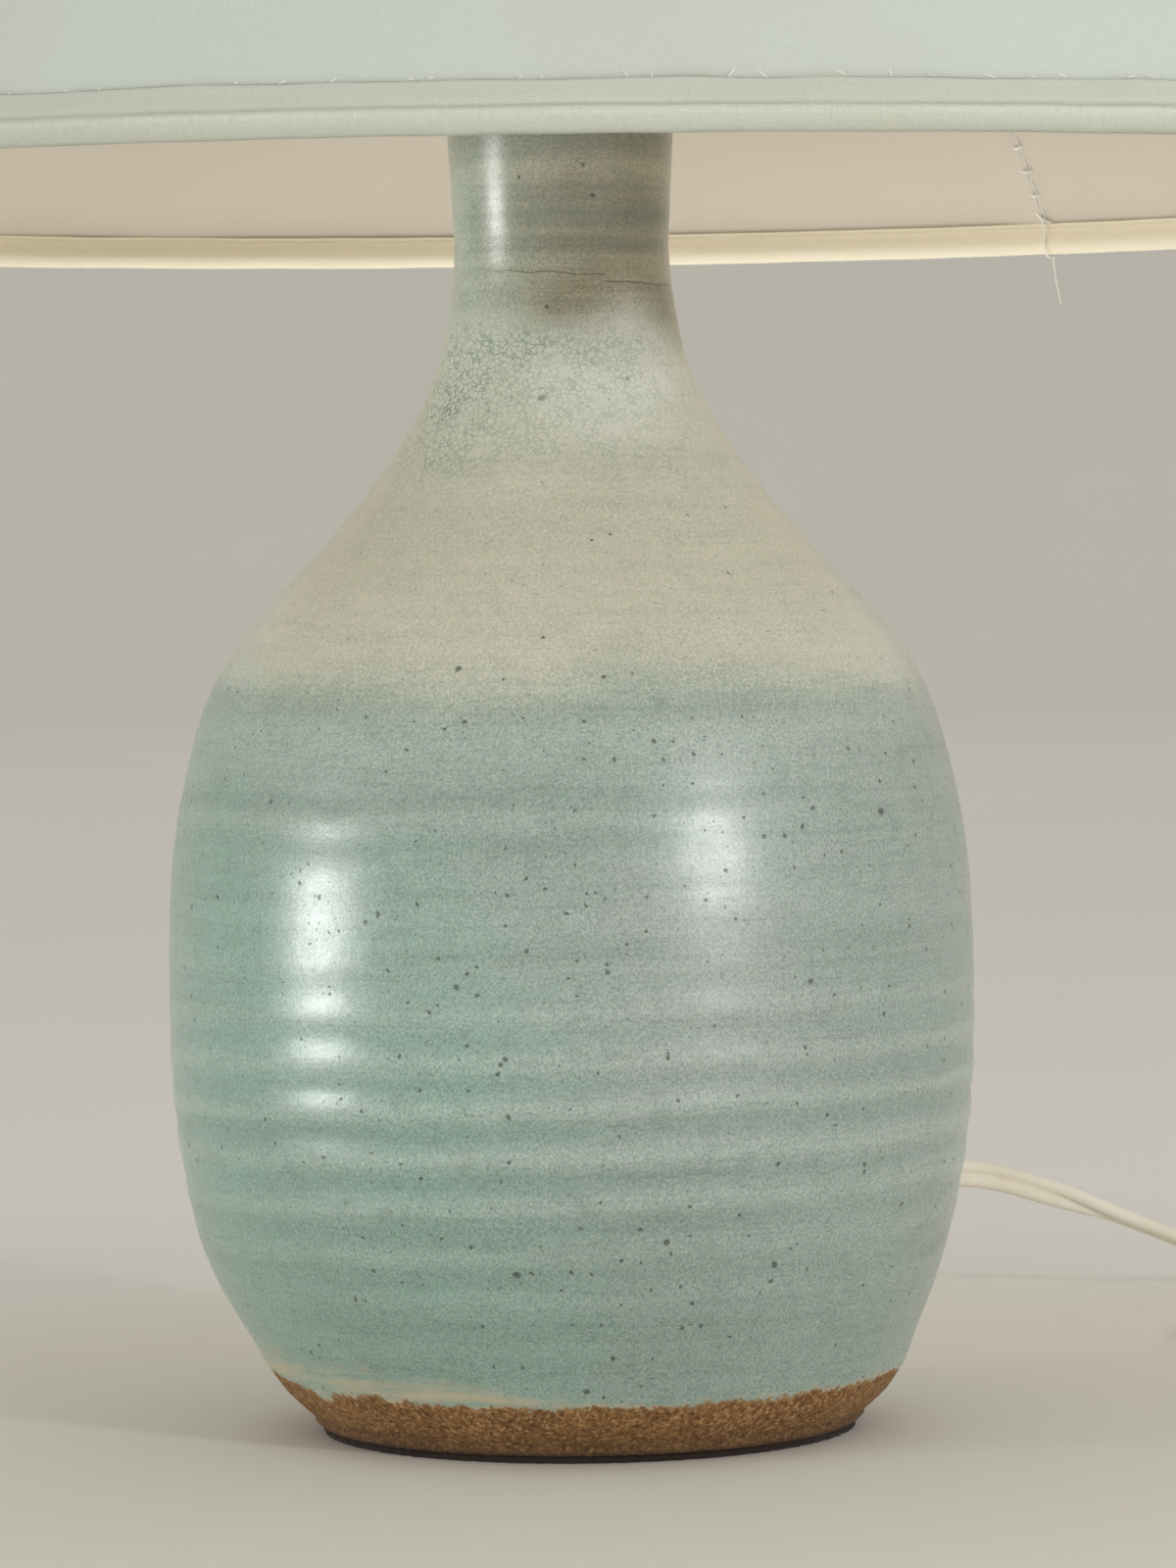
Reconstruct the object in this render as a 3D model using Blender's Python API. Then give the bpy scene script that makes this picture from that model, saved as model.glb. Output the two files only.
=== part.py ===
"""Table lamp with a thrown stoneware body, a wide cone shade on a harp, and a twin flex.

Metres, +Z up. The origin is the centre of the foot, on the table. -Y is the front.
"""

import math

import bmesh
import bpy
from mathutils import Vector

# Fits and cuts
SEAT_GAP = 0.0003
OVERRUN = 0.004
WELD = 0.000005
SMOOTH_ANGLE = math.radians(32)
QUARTER_TURN = math.radians(90)
HALF_TURN = math.radians(180)

# Felt pad and stoneware body
FELT_RADIUS = 0.0545
FELT_THICKNESS = 0.0012
BODY_HEIGHT = 0.2735
BODY_WALL = 0.0065
BODY_FLOOR = 0.009
FOOT_RADIUS = 0.0568
FOOT_CHAMFER = 0.0020
FOOT_RING_WIDTH = 0.011
FOOT_RECESS = 0.0015
BELLY_RADIUS = 0.0821
BELLY_HEIGHT = 0.0865
NECK_RADIUS = 0.0218
NECK_HEIGHT = 0.2435
LIP_RADIUS = 0.0232
LIP_ROUND = 0.0025
LIP_STEPS = 3
BODY_SIDES = 40

# From foot to belly: share of the height, share of the way out from foot to belly
LOWER_SHARES = ((0.10, 0.258), (0.22, 0.462), (0.36, 0.689), (0.52, 0.851), (0.74, 0.966), (1.0, 1.0))
# From belly to neck: share of the height, share of the way out from neck to belly
UPPER_SHARES = (
    (0.17, 0.986),
    (0.30, 0.930),
    (0.41, 0.839),
    (0.50, 0.681),
    (0.60, 0.440),
    (0.70, 0.231),
    (0.80, 0.083),
    (0.90, 0.017),
)
BODY_STEPS = 2
# One inner ring for so many outer rings
INNER_EVERY = 4

# Hole for the flex, low at the back right
CORD_HOLE_RADIUS = 0.0045
CORD_HOLE_HEIGHT = 0.0385
CORD_HOLE_BEARING = math.radians(34)
BUSH_PROUD = 0.002
BUSH_COLLAR_RADIUS = 0.0058
BUSH_COLLAR_THICKNESS = 0.0016
BUSH_ROOT_RADIUS = 0.0048
BUSH_TIP_RADIUS = 0.0034
BUSH_NOSE = 0.0200
BUSH_SIDES = 14

# What clamps the fittings to the neck
NIPPLE_RADIUS = 0.0048
NIPPLE_BORE_RADIUS = 0.0033
NIPPLE_TAIL = 0.004
NIPPLE_BITE = 0.005
CAP_WALL = 0.001
CAP_SKIRT = 0.0052
CAP_SLOPE_RUN = 0.0045
STOPPER_HEIGHT = 0.025
STOPPER_TAPER = 0.0012
WASHER_RADIUS = 0.0125
WASHER_THICKNESS = 0.0012
NUT_RADIUS = 0.0083
LOWER_NUT_HEIGHT = 0.004
LOCK_NUT_HEIGHT = 0.003
NUT_BEVEL = 0.0004
RING_SIDES = 20

# Harp saddle: a strip bent up into two prongs
SADDLE_THICKNESS = 0.0015
SADDLE_WIDTH = 0.0125
SADDLE_KNEE_WIDTH = 0.0100
PRONG_WIDTH = 0.0054
PRONG_SPACING = 0.0570
PRONG_HEIGHT = 0.0090
SADDLE_RISE = 0.0120
SADDLE_FLAT = 0.0110
# From the flat to the prong: share of the way out, share of the rise
SADDLE_SHARES = ((0.70, 0.58), (0.94, 0.80), (1.0, 0.90))

# Lampholder, from the core outwards
CORE_RADIUS = 0.0145
CORE_HEIGHT = 0.0220
CORE_CHAMFER = 0.0012
CORE_LIFT = 0.0020
CORE_FLAT_DEPTH = 0.0032
CORE_FLAT_HEIGHT = 0.0110
CORE_FLAT_WIDTH = 0.0100
CORE_FLAT_LIFT = 0.0030
SLEEVE_WALL = 0.0008
SLEEVE_HEIGHT = 0.0440
SHELL_WALL = 0.0006
SHELL_HEIGHT = 0.0475
SHELL_OVERLAP = 0.0070
SHELL_BEAD = 0.0007
SHELL_BEAD_HEIGHT = 0.0024
# Where the two beads lie up the shell
SHELL_BEAD_SHARES = (0.24, 0.90)
SOCKET_CAP_WALL = 0.0008
SOCKET_CAP_HEIGHT = 0.0160
COLLAR_RADIUS = 0.0076
COLLAR_HEIGHT = 0.0038
# The dome of the socket cap: share of the way out, share of the way up
DOME_SHARES = ((0.30, 0.16), (0.62, 0.36), (0.86, 0.60), (0.97, 0.84), (1.0, 1.0))
SCREW_SHELL_WALL = 0.0004
SCREW_SHELL_INSET = 0.0005
SCREW_SHELL_HEIGHT = 0.0222
CONTACT_RADIUS = 0.0042
CONTACT_HEIGHT = 0.0012
TERMINAL_RADIUS = 0.0026
TERMINAL_HEAD = 0.0014
SOCKET_SIDES = 20

# Turn key of the switch
KEY_SHAFT_RADIUS = 0.0021
KEY_SHAFT_DEPTH = 0.0056
KEY_SHAFT_REACH = 0.0050
KEY_PLAY = 0.0006
KEY_LENGTH = 0.0115
KEY_WIDTH = 0.0200
KEY_THICKNESS = 0.0044
KEY_LIFT = 0.0115
KEY_BEVEL = 0.0009
# Outline of the key's grip: share of the half width, share of the length
KEY_SHARES = ((0.32, 0.0), (0.60, 0.14), (0.93, 0.42), (1.0, 0.68), (0.88, 0.90), (0.60, 1.0))

# Lamp bulb with a medium screw base
BULB_LENGTH = 0.1085
BULB_RADIUS = 0.0300
BULB_GLASS = 0.0010
BULB_NECK_RADIUS = 0.0133
BULB_BASE_RADIUS = 0.0131
BULB_BASE_HEIGHT = 0.0230
BULB_BASE_WALL = 0.0005
BULB_GROOVE = 0.0007
BULB_GROOVES = 3
BULB_TIP_RADIUS = 0.0046
BULB_TIP_HEIGHT = 0.0014
BULB_INSULATOR_RADIUS = 0.0102
BULB_INSULATOR_HEIGHT = 0.0034
BULB_SIDES = 20
# Glass above the base: share of the way out from neck to globe, share of the height
BULB_SHARES = (
    (0.0, 0.0),
    (0.10, 0.08),
    (0.30, 0.22),
    (0.62, 0.37),
    (0.90, 0.52),
    (1.0, 0.64),
)
BULB_CROWN_STEPS = 5

# Harp, its locking ferrules and its stud
HARP_HEIGHT = 0.1780
HARP_HALF_WIDTH = 0.0560
HARP_WIRE_RADIUS = 0.0021
HARP_WIRE_RESOLUTION = 2
HARP_STRAIGHT = 0.0175
HARP_ARCH = 0.0585
HARP_LEG_STEPS = 7
HARP_ARCH_STEPS = 18
FERRULE_HEIGHT = 0.0150
FERRULE_WALL = 0.0011
FERRULE_NECK = 0.0026
FERRULE_SIDES = 14
STUD_SHOULDER_RADIUS = 0.0060
STUD_SHOULDER_HEIGHT = 0.0020
STUD_RADIUS = 0.0031
STUD_HEIGHT = 0.0120
STUD_SIDES = 14

# Shade: a lined fabric cone between two wire rings
SHADE_BOTTOM_RADIUS = 0.2465
SHADE_TOP_RADIUS = 0.0500
SHADE_RIM_DROP = 0.2067
SHADE_TOP_RISE = 0.0085
SHADE_WALL = 0.0012
RING_WIRE_RADIUS = 0.0015
RING_WIRE_SIDES = 5
TRIM_THICKNESS = 0.0004
TRIM_OUTSIDE = 0.0054
TRIM_INSIDE = 0.0050
TRIM_TURN = 0.0017
TRIM_STEPS = 3
SHADE_SIDES = 54
SHADE_TOP_SIDES = 36

# Spider: a washer and three arms welded to the top ring
SPIDER_WASHER_RADIUS = 0.0125
SPIDER_WASHER_THICKNESS = 0.0014
SPIDER_ARMS = 3
SPIDER_ARM_RADIUS = 0.0014
SPIDER_ARM_START = math.radians(90)
SPIDER_ARM_SIDES = 8
SPIDER_ARM_FLAT = 0.0060
# The arm beyond its flat: share of the way out, share of the rise
SPIDER_ARM_SHARES = ((0.30, 0.14), (0.72, 0.72), (1.0, 1.0))

# Finial: a round base with a turned knob
FINIAL_BASE_RADIUS = 0.0078
FINIAL_WAIST_RADIUS = 0.0048
FINIAL_BASE_HEIGHT = 0.0085
FINIAL_KNOB_RADIUS = 0.0088
FINIAL_KNOB_HEIGHT = 0.0180
FINIAL_BORE_DEPTH = 0.0036
FINIAL_SIDES = 18
# Knob: share of the radius, share of the height
FINIAL_SHARES = (
    (0.52, 0.0),
    (0.60, 0.08),
    (0.46, 0.15),
    (0.76, 0.26),
    (1.0, 0.48),
    (0.88, 0.70),
    (0.52, 0.86),
    (0.26, 0.90),
    (0.24, 0.96),
    (0.0, 1.0),
)

# Twin flex, 6 mm by 3 mm, as a round tube of the same section area
FLEX_RADIUS = 0.0021
FLEX_POINT_SPACING = 0.0126
FLEX_RESOLUTION = 2
ROUTE_STEPS = 8
FLEX_HEIGHT = 0.0022

# Route inside the body: out along the hole's bearing, and up
INNER_ROUTE = ((0.050, 0.0420), (0.032, 0.0560), (0.016, 0.0850), (0.006, 0.1250), (0.001, 0.1650))
# Free route in the world, after the bush
LEAD_ROUTE = (
    (0.0745, 0.1105, 0.0396),
    (0.0910, 0.1350, 0.0374),
    (0.1075, 0.1575, 0.0312),
    (0.1230, 0.1775, 0.0243),
    (0.1370, 0.1945, 0.0176),
    (0.1500, 0.2095, 0.0108),
    (0.1630, 0.2235, 0.0055),
    (0.1760, 0.2365, 0.0028),
    (0.1879, 0.2458, 0.0022),
    (0.2021, 0.2490, 0.0022),
    (0.2163, 0.2458, 0.0022),
    (0.2278, 0.2370, 0.0022),
    (0.2342, 0.2241, 0.0022),
    (0.2360, 0.2060, 0.0022),
    (0.2363, 0.1830, 0.0022),
    (0.2360, 0.1600, 0.0022),
    (0.2357, 0.1400, 0.0022),
)
TAIL_ROUTE = (
    (0.2352, 0.0900, 0.0060),
    (0.2340, 0.0750, 0.0038),
    (0.2326, 0.0600, 0.0032),
    (0.2317, 0.0480, 0.0052),
)

# Coil of the unseen length: spirals in on the table and out again on top
COIL_CENTRE = (0.1906, 0.1100)
COIL_OUTER_RADIUS = 0.0451
COIL_PITCH = 0.0065
COIL_LAYER_RISE = 0.0047
COIL_TURNS = 6
COIL_POINTS_PER_TURN = 24
COIL_RESOLUTION = 1

# Two-blade plug, lying flat, cord end towards +Y
PLUG_ENTRY = (0.2315, 0.0300)
PLUG_LENGTH = 0.0320
PLUG_HALF_WIDTH = 0.0120
PLUG_HALF_THICKNESS = 0.0076
PLUG_RING_POINTS = 16
# Plug body: share of the length, share of the half width, share of the half thickness
PLUG_SHARES = (
    (0.0, 0.34, 0.50),
    (0.06, 0.40, 0.58),
    (0.36, 0.52, 0.66),
    (0.58, 0.90, 0.90),
    (0.70, 1.0, 1.0),
    (0.96, 1.0, 1.0),
    (1.0, 0.92, 0.90),
)
BLADE_SPACING = 0.0127
BLADE_LENGTH = 0.0165
BLADE_WIDTH = 0.0064
BLADE_THICKNESS = 0.0015
BLADE_NOSE = 0.0014

# Heights above the table, from the foot up
FOOT_Z = FELT_THICKNESS + SEAT_GAP
LIP_Z = FOOT_Z + BODY_HEIGHT
THROAT_RADIUS = NECK_RADIUS - BODY_WALL
NECK_CAP_Z = LIP_Z + SEAT_GAP
STOPPER_Z = LIP_Z - STOPPER_HEIGHT
WASHER_Z = STOPPER_Z - SEAT_GAP - WASHER_THICKNESS
LOWER_NUT_Z = WASHER_Z - SEAT_GAP - LOWER_NUT_HEIGHT
NIPPLE_Z = LOWER_NUT_Z - NIPPLE_TAIL
LOCK_NUT_Z = NECK_CAP_Z + CAP_WALL + SEAT_GAP
SADDLE_Z = LOCK_NUT_Z + LOCK_NUT_HEIGHT + SEAT_GAP
SOCKET_Z = SADDLE_Z + SADDLE_THICKNESS + SEAT_GAP
SHELL_Z = SOCKET_Z + SOCKET_CAP_HEIGHT - SHELL_OVERLAP
CORE_Z = SHELL_Z + CORE_LIFT
CORE_TOP_Z = CORE_Z + CORE_HEIGHT
CONTACT_Z = CORE_TOP_Z + SEAT_GAP
BULB_Z = CONTACT_Z + CONTACT_HEIGHT + SEAT_GAP
HARP_SEAT_Z = SADDLE_Z + HARP_HEIGHT
STUD_Z = HARP_SEAT_Z - STUD_SHOULDER_HEIGHT
HARP_TOP_Z = STUD_Z - SEAT_GAP - HARP_WIRE_RADIUS
SHOULDER_Z = SADDLE_Z + SADDLE_RISE
PRONG_TOP_Z = SHOULDER_Z + PRONG_HEIGHT
HARP_FOOT_Z = PRONG_TOP_Z + SEAT_GAP
FERRULE_Z = SHOULDER_Z + SEAT_GAP
SPIDER_Z = HARP_SEAT_Z + SEAT_GAP
TOP_RING_Z = SPIDER_Z + SHADE_TOP_RISE
BOTTOM_RING_Z = HARP_SEAT_Z - SHADE_RIM_DROP
FINIAL_Z = SPIDER_Z + SPIDER_WASHER_THICKNESS + SEAT_GAP
KEY_Z = CORE_Z + KEY_LIFT

# Radii that follow from the pieces inside them
NIPPLE_HOLE_RADIUS = NIPPLE_RADIUS + SEAT_GAP
SLEEVE_BORE_RADIUS = CORE_RADIUS + SEAT_GAP
SHELL_BORE_RADIUS = SLEEVE_BORE_RADIUS + SLEEVE_WALL + SEAT_GAP
SHELL_RADIUS = SHELL_BORE_RADIUS + SHELL_WALL
SOCKET_CAP_RADIUS = SHELL_RADIUS + SEAT_GAP + SOCKET_CAP_WALL
STUD_HOLE_RADIUS = STUD_RADIUS + SEAT_GAP


def clear_scene():
    for item in list(bpy.data.objects):
        bpy.data.objects.remove(item, do_unlink=True)


def finish(name, colour, roughness, metallic=0.0):
    """A Principled material; the colour is linear red, green and blue."""
    material = bpy.data.materials.new(name)
    material.use_nodes = True
    shader = material.node_tree.nodes["Principled BSDF"]
    shader.inputs["Base Color"].default_value = (*colour, 1.0)
    shader.inputs["Roughness"].default_value = roughness
    shader.inputs["Metallic"].default_value = metallic
    material.diffuse_color = (*colour, 1.0)
    return material


def group(name, location, parent=None):
    """An empty that carries the pieces of one assembly, on its axis."""
    holder = bpy.data.objects.new(name, None)
    holder.location = location
    holder.parent = parent
    bpy.context.collection.objects.link(holder)
    return holder


def solid(name, shape, material=None, parent=None, place=(0, 0, 0), turn=(0, 0, 0)):
    """Puts a bmesh into the scene as a smooth-shaded object."""
    mesh = bpy.data.meshes.new(name)
    shape.to_mesh(mesh)
    shape.free()
    mesh.shade_smooth()
    mesh.set_sharp_from_angle(angle=SMOOTH_ANGLE)
    item = bpy.data.objects.new(name, mesh)
    if material:
        mesh.materials.append(material)
    item.parent = parent
    item.location = place
    item.rotation_euler = turn
    bpy.context.collection.objects.link(item)
    return item


def helper(item):
    """Marks a cutter or a part of a union, which is no piece by itself."""
    item.hide_render = True
    item.display_type = "WIRE"
    return item


def combine(target, other, operation):
    step = target.modifiers.new(other.name, "BOOLEAN")
    step.operation = operation
    step.object = helper(other)
    step.solver = "EXACT"


def smooth_curve(knots, steps):
    """Catmull-Rom curve through the knots, in steps between each pair."""
    line = [Vector(knot) for knot in knots]
    line = [2 * line[0] - line[1]] + line + [2 * line[-1] - line[-2]]
    points = []
    for before, start, end, after in zip(line, line[1:], line[2:], line[3:]):
        for step in range(steps):
            t = step / steps
            bend = 2 * before - 5 * start + 4 * end - after
            twist = 3 * start - before - 3 * end + after
            points.append((2 * start + (end - before) * t + bend * t * t + twist * t**3) / 2)
    points.append(line[-2])
    return points


def evenly_spaced(points, spacing):
    """Points along a line at equal steps of about this spacing, with its ends kept."""
    lengths = [0.0]
    for start, end in zip(points, points[1:]):
        lengths.append(lengths[-1] + (end - start).length)
    count = max(2, round(lengths[-1] / spacing))
    spaced = []
    index = 0
    for step in range(count + 1):
        wanted = lengths[-1] * step / count
        while index < len(points) - 2 and lengths[index + 1] < wanted:
            index += 1
        part = (wanted - lengths[index]) / (lengths[index + 1] - lengths[index])
        spaced.append(points[index].lerp(points[index + 1], part))
    return spaced


def line_length(points):
    return sum((end - start).length for start, end in zip(points, points[1:]))


def offset_line(points, distance):
    """The open line moved to its left by distance, with mitred corners."""
    points = [Vector(point) for point in points]
    directions = [(end - start).normalized() for start, end in zip(points, points[1:])]
    moved = []
    for index, point in enumerate(points):
        near = directions[max(index - 1, 0)]
        far = directions[min(index, len(directions) - 1)]
        across = Vector((-near.y - far.y, near.x + far.x))
        moved.append(point + across * (2 * distance / across.length_squared))
    return moved


def walled(path, wall):
    """Closed outline of a sheet whose left face lies wall to the left of the path."""
    path = [Vector(point) for point in path]
    return path + offset_line(path, wall)[::-1]


def turned(name, outline, sides, material=None, parent=None, place=(0, 0, 0), turn=(0, 0, 0)):
    """A solid of revolution about its own Z, from a closed outline of radii and heights."""
    shape = bmesh.new()
    corners = [shape.verts.new((radius, 0, height)) for radius, height in outline]
    rim = []
    for start, end in zip(corners, corners[1:] + corners[:1]):
        if start.co.x > 0 or end.co.x > 0:
            rim.append(shape.edges.new((start, end)))
    bmesh.ops.spin(
        shape, geom=corners + rim, axis=(0, 0, 1), cent=(0, 0, 0), steps=sides, angle=math.tau
    )
    bmesh.ops.remove_doubles(shape, verts=shape.verts, dist=WELD)
    bmesh.ops.recalc_face_normals(shape, faces=shape.faces)
    return solid(name, shape, material, parent, place, turn)


def wire_section(radius, height, wire_radius, sides):
    """Outline of a round wire bent into a ring of this radius."""
    outline = []
    for step in range(sides):
        angle = math.tau * step / sides
        across = wire_radius * math.cos(angle)
        outline.append((radius + across, height + wire_radius * math.sin(angle)))
    return outline


def lofted(name, rings, material=None, parent=None, place=(0, 0, 0), turn=(0, 0, 0)):
    """A closed skin through rings of equally many points, capped at both ends."""
    shape = bmesh.new()
    loops = [[shape.verts.new(point) for point in ring] for ring in rings]
    for near, far in zip(loops, loops[1:]):
        for index in range(len(near)):
            after = (index + 1) % len(near)
            shape.faces.new((near[index], near[after], far[after], far[index]))
    shape.faces.new(loops[0][::-1])
    shape.faces.new(loops[-1])
    bmesh.ops.recalc_face_normals(shape, faces=shape.faces)
    return solid(name, shape, material, parent, place, turn)


def strip_rings(path, widths, thickness):
    """Rectangles across a path in the XZ plane, for a bent strip of changing width."""
    below = offset_line(path, thickness / 2)
    above = offset_line(path, -thickness / 2)
    rings = []
    for low, high, width in zip(below, above, widths):
        half = width / 2
        rings.append(
            (
                (low.x, -half, low.y),
                (low.x, half, low.y),
                (high.x, half, high.y),
                (high.x, -half, high.y),
            )
        )
    return rings


def rod_rings(path, radius, sides):
    """Round sections across a path in the XZ plane, square to its bisectors."""
    left = offset_line(path, radius)
    rings = []
    for point, side in zip(path, left):
        point = Vector(point)
        across = side - point
        ring = []
        for step in range(sides):
            angle = math.tau * step / sides
            spot = point + across * math.cos(angle)
            ring.append((spot.x, radius * math.sin(angle), spot.y))
        rings.append(ring)
    return rings


def tube(name, points, radius, resolution, material, parent=None):
    """A round cord or wire along a line of points."""
    curve = bpy.data.curves.new(name, "CURVE")
    curve.dimensions = "3D"
    curve.bevel_depth = radius
    curve.bevel_resolution = resolution
    curve.use_fill_caps = True
    spline = curve.splines.new("POLY")
    spline.points.add(len(points) - 1)
    for spot, point in zip(spline.points, points):
        spot.co = (*point, 1)
    curve.materials.append(material)
    item = bpy.data.objects.new(name, curve)
    item.parent = parent
    bpy.context.collection.objects.link(item)
    return item


def hexagon_nut(name, height, material, parent, place):
    """A six-sided nut with broken outer corners and a plain bore."""
    shape = bmesh.new()
    bmesh.ops.create_circle(shape, cap_ends=True, segments=6, radius=NUT_RADIUS)
    grown = bmesh.ops.extrude_face_region(shape, geom=shape.faces[:])
    top = [item for item in grown["geom"] if isinstance(item, bmesh.types.BMVert)]
    bmesh.ops.translate(shape, verts=top, vec=(0, 0, height))
    level = [edge for edge in shape.edges if abs(edge.verts[0].co.z - edge.verts[1].co.z) < WELD]
    bmesh.ops.bevel(shape, geom=level, offset=NUT_BEVEL, segments=1, affect="EDGES")
    bmesh.ops.recalc_face_normals(shape, faces=shape.faces)
    nut = solid(name, shape, material, parent, place)
    outline = (
        (0, -OVERRUN),
        (NIPPLE_HOLE_RADIUS, -OVERRUN),
        (NIPPLE_HOLE_RADIUS, height + OVERRUN),
        (0, height + OVERRUN),
    )
    combine(nut, turned(name + "_bore", outline, RING_SIDES, None, parent, place), "DIFFERENCE")
    return nut


def body_curve():
    """Outer face of the body from the foot to under the lip, as radius and height."""
    knots = [(FOOT_RADIUS, FOOT_Z + FOOT_CHAMFER)]
    for up, out in LOWER_SHARES:
        radius = FOOT_RADIUS + out * (BELLY_RADIUS - FOOT_RADIUS)
        knots.append((radius, FOOT_Z + up * BELLY_HEIGHT))
    for up, out in UPPER_SHARES:
        radius = NECK_RADIUS + out * (BELLY_RADIUS - NECK_RADIUS)
        knots.append((radius, FOOT_Z + BELLY_HEIGHT + up * (NECK_HEIGHT - BELLY_HEIGHT)))
    knots.append((NECK_RADIUS, FOOT_Z + NECK_HEIGHT))
    knots.append((LIP_RADIUS, LIP_Z - LIP_ROUND))
    return smooth_curve(knots, BODY_STEPS)


def body_radius_at(height):
    """Outer radius of the body at a height above the table."""
    line = body_curve()
    for low, high in zip(line, line[1:]):
        if low.y <= height <= high.y:
            return low.x + (high.x - low.x) * (height - low.y) / (high.y - low.y)
    raise ValueError("height outside the body")


def bearing_point(out, height):
    """A point this far out from the axis along the cord hole's bearing."""
    return Vector(
        (out * math.sin(CORD_HOLE_BEARING), out * math.cos(CORD_HOLE_BEARING), height)
    )


def felt_pad(root, felt):
    outline = ((0, 0), (FELT_RADIUS, 0), (FELT_RADIUS, FELT_THICKNESS), (0, FELT_THICKNESS))
    turned("felt_pad", outline, BODY_SIDES, felt, root)


def ceramic_body(root, glaze):
    """The vessel: a turned skin with a trimmed foot, a rolled lip and a straight throat."""
    outer = body_curve()
    inner = []
    floor = FOOT_Z + BODY_FLOOR
    for point in offset_line(outer, BODY_WALL)[::INNER_EVERY]:
        if floor < point.y < FOOT_Z + NECK_HEIGHT and point.x > THROAT_RADIUS:
            inner.append(point)
    lip = []
    for step in range(1, LIP_STEPS + 1):
        angle = QUARTER_TURN * step / LIP_STEPS
        across = LIP_ROUND * math.cos(angle)
        up = LIP_ROUND * math.sin(angle)
        lip.append((LIP_RADIUS - LIP_ROUND + across, LIP_Z - LIP_ROUND + up))
    ring = FOOT_RADIUS - FOOT_RING_WIDTH
    outline = [(0, FOOT_Z + FOOT_RECESS), (ring - FOOT_RECESS, FOOT_Z + FOOT_RECESS), (ring, FOOT_Z)]
    outline += [(FOOT_RADIUS - FOOT_CHAMFER, FOOT_Z)] + [tuple(point) for point in outer] + lip
    outline += [(THROAT_RADIUS, LIP_Z), (THROAT_RADIUS, FOOT_Z + NECK_HEIGHT)]
    outline += [tuple(point) for point in inner[::-1]] + [(inner[0].x, floor), (0, floor)]
    body = turned("ceramic_body", outline, BODY_SIDES, glaze, root)
    middle = body_radius_at(FOOT_Z + CORD_HOLE_HEIGHT)
    reach = BODY_WALL + OVERRUN
    hole = ((0, -reach), (CORD_HOLE_RADIUS, -reach), (CORD_HOLE_RADIUS, OVERRUN), (0, OVERRUN))
    drill = turned(
        "cord_hole",
        hole,
        BUSH_SIDES,
        None,
        root,
        bearing_point(middle, FOOT_Z + CORD_HOLE_HEIGHT),
        (-QUARTER_TURN, 0, -CORD_HOLE_BEARING),
    )
    combine(body, drill, "DIFFERENCE")


def bush_span():
    """How far out from the axis the bush starts, its collar starts, and its nose ends."""
    height = FOOT_Z + CORD_HOLE_HEIGHT
    start = body_radius_at(height) - BODY_WALL - BUSH_PROUD
    collar = body_radius_at(height + BUSH_COLLAR_RADIUS) + SEAT_GAP
    return start, collar, collar + BUSH_COLLAR_THICKNESS + BUSH_NOSE


def cord_bush(root, ivory):
    start, collar, end = bush_span()
    shank = CORD_HOLE_RADIUS - SEAT_GAP
    outline = (
        (0, 0),
        (shank, 0),
        (shank, collar - start),
        (BUSH_COLLAR_RADIUS, collar - start),
        (BUSH_COLLAR_RADIUS, collar - start + BUSH_COLLAR_THICKNESS),
        (BUSH_ROOT_RADIUS, collar - start + BUSH_COLLAR_THICKNESS),
        (BUSH_TIP_RADIUS, end - start),
        (0, end - start),
    )
    turned(
        "cord_bush",
        outline,
        BUSH_SIDES,
        ivory,
        root,
        bearing_point(start, FOOT_Z + CORD_HOLE_HEIGHT),
        (-QUARTER_TURN, 0, -CORD_HOLE_BEARING),
    )


def neck_fittings(root, brass, steel, rubber):
    """The spun cap on the lip and what pulls it down: stopper, washer, nuts and nipple."""
    rim = LIP_RADIUS + SEAT_GAP + CAP_WALL
    path = (
        (rim, -CAP_SKIRT + CAP_WALL),
        (rim, -LIP_ROUND / 2),
        (rim - LIP_ROUND / 2, CAP_WALL / 3),
        (rim - CAP_SLOPE_RUN, CAP_WALL),
        (NIPPLE_HOLE_RADIUS, CAP_WALL),
    )
    turned("neck_cap", walled(path, CAP_WALL), RING_SIDES * 2, brass, root, (0, 0, NECK_CAP_Z))
    wide = THROAT_RADIUS - SEAT_GAP
    outline = (
        (NIPPLE_HOLE_RADIUS, 0),
        (wide - STOPPER_TAPER, 0),
        (wide, STOPPER_HEIGHT),
        (NIPPLE_HOLE_RADIUS, STOPPER_HEIGHT),
    )
    turned("neck_stopper", outline, RING_SIDES, rubber, root, (0, 0, STOPPER_Z))
    outline = (
        (NIPPLE_HOLE_RADIUS, 0),
        (WASHER_RADIUS, 0),
        (WASHER_RADIUS, WASHER_THICKNESS),
        (NIPPLE_HOLE_RADIUS, WASHER_THICKNESS),
    )
    turned("lower_washer", outline, RING_SIDES, steel, root, (0, 0, WASHER_Z))
    hexagon_nut("lower_nut", LOWER_NUT_HEIGHT, steel, root, (0, 0, LOWER_NUT_Z))
    hexagon_nut("lock_nut", LOCK_NUT_HEIGHT, brass, root, (0, 0, LOCK_NUT_Z))
    length = SOCKET_Z + NIPPLE_BITE - NIPPLE_Z
    outline = (
        (NIPPLE_BORE_RADIUS, 0),
        (NIPPLE_RADIUS, 0),
        (NIPPLE_RADIUS, length),
        (NIPPLE_BORE_RADIUS, length),
    )
    turned("nipple", outline, RING_SIDES, steel, root, (0, 0, NIPPLE_Z))


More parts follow.
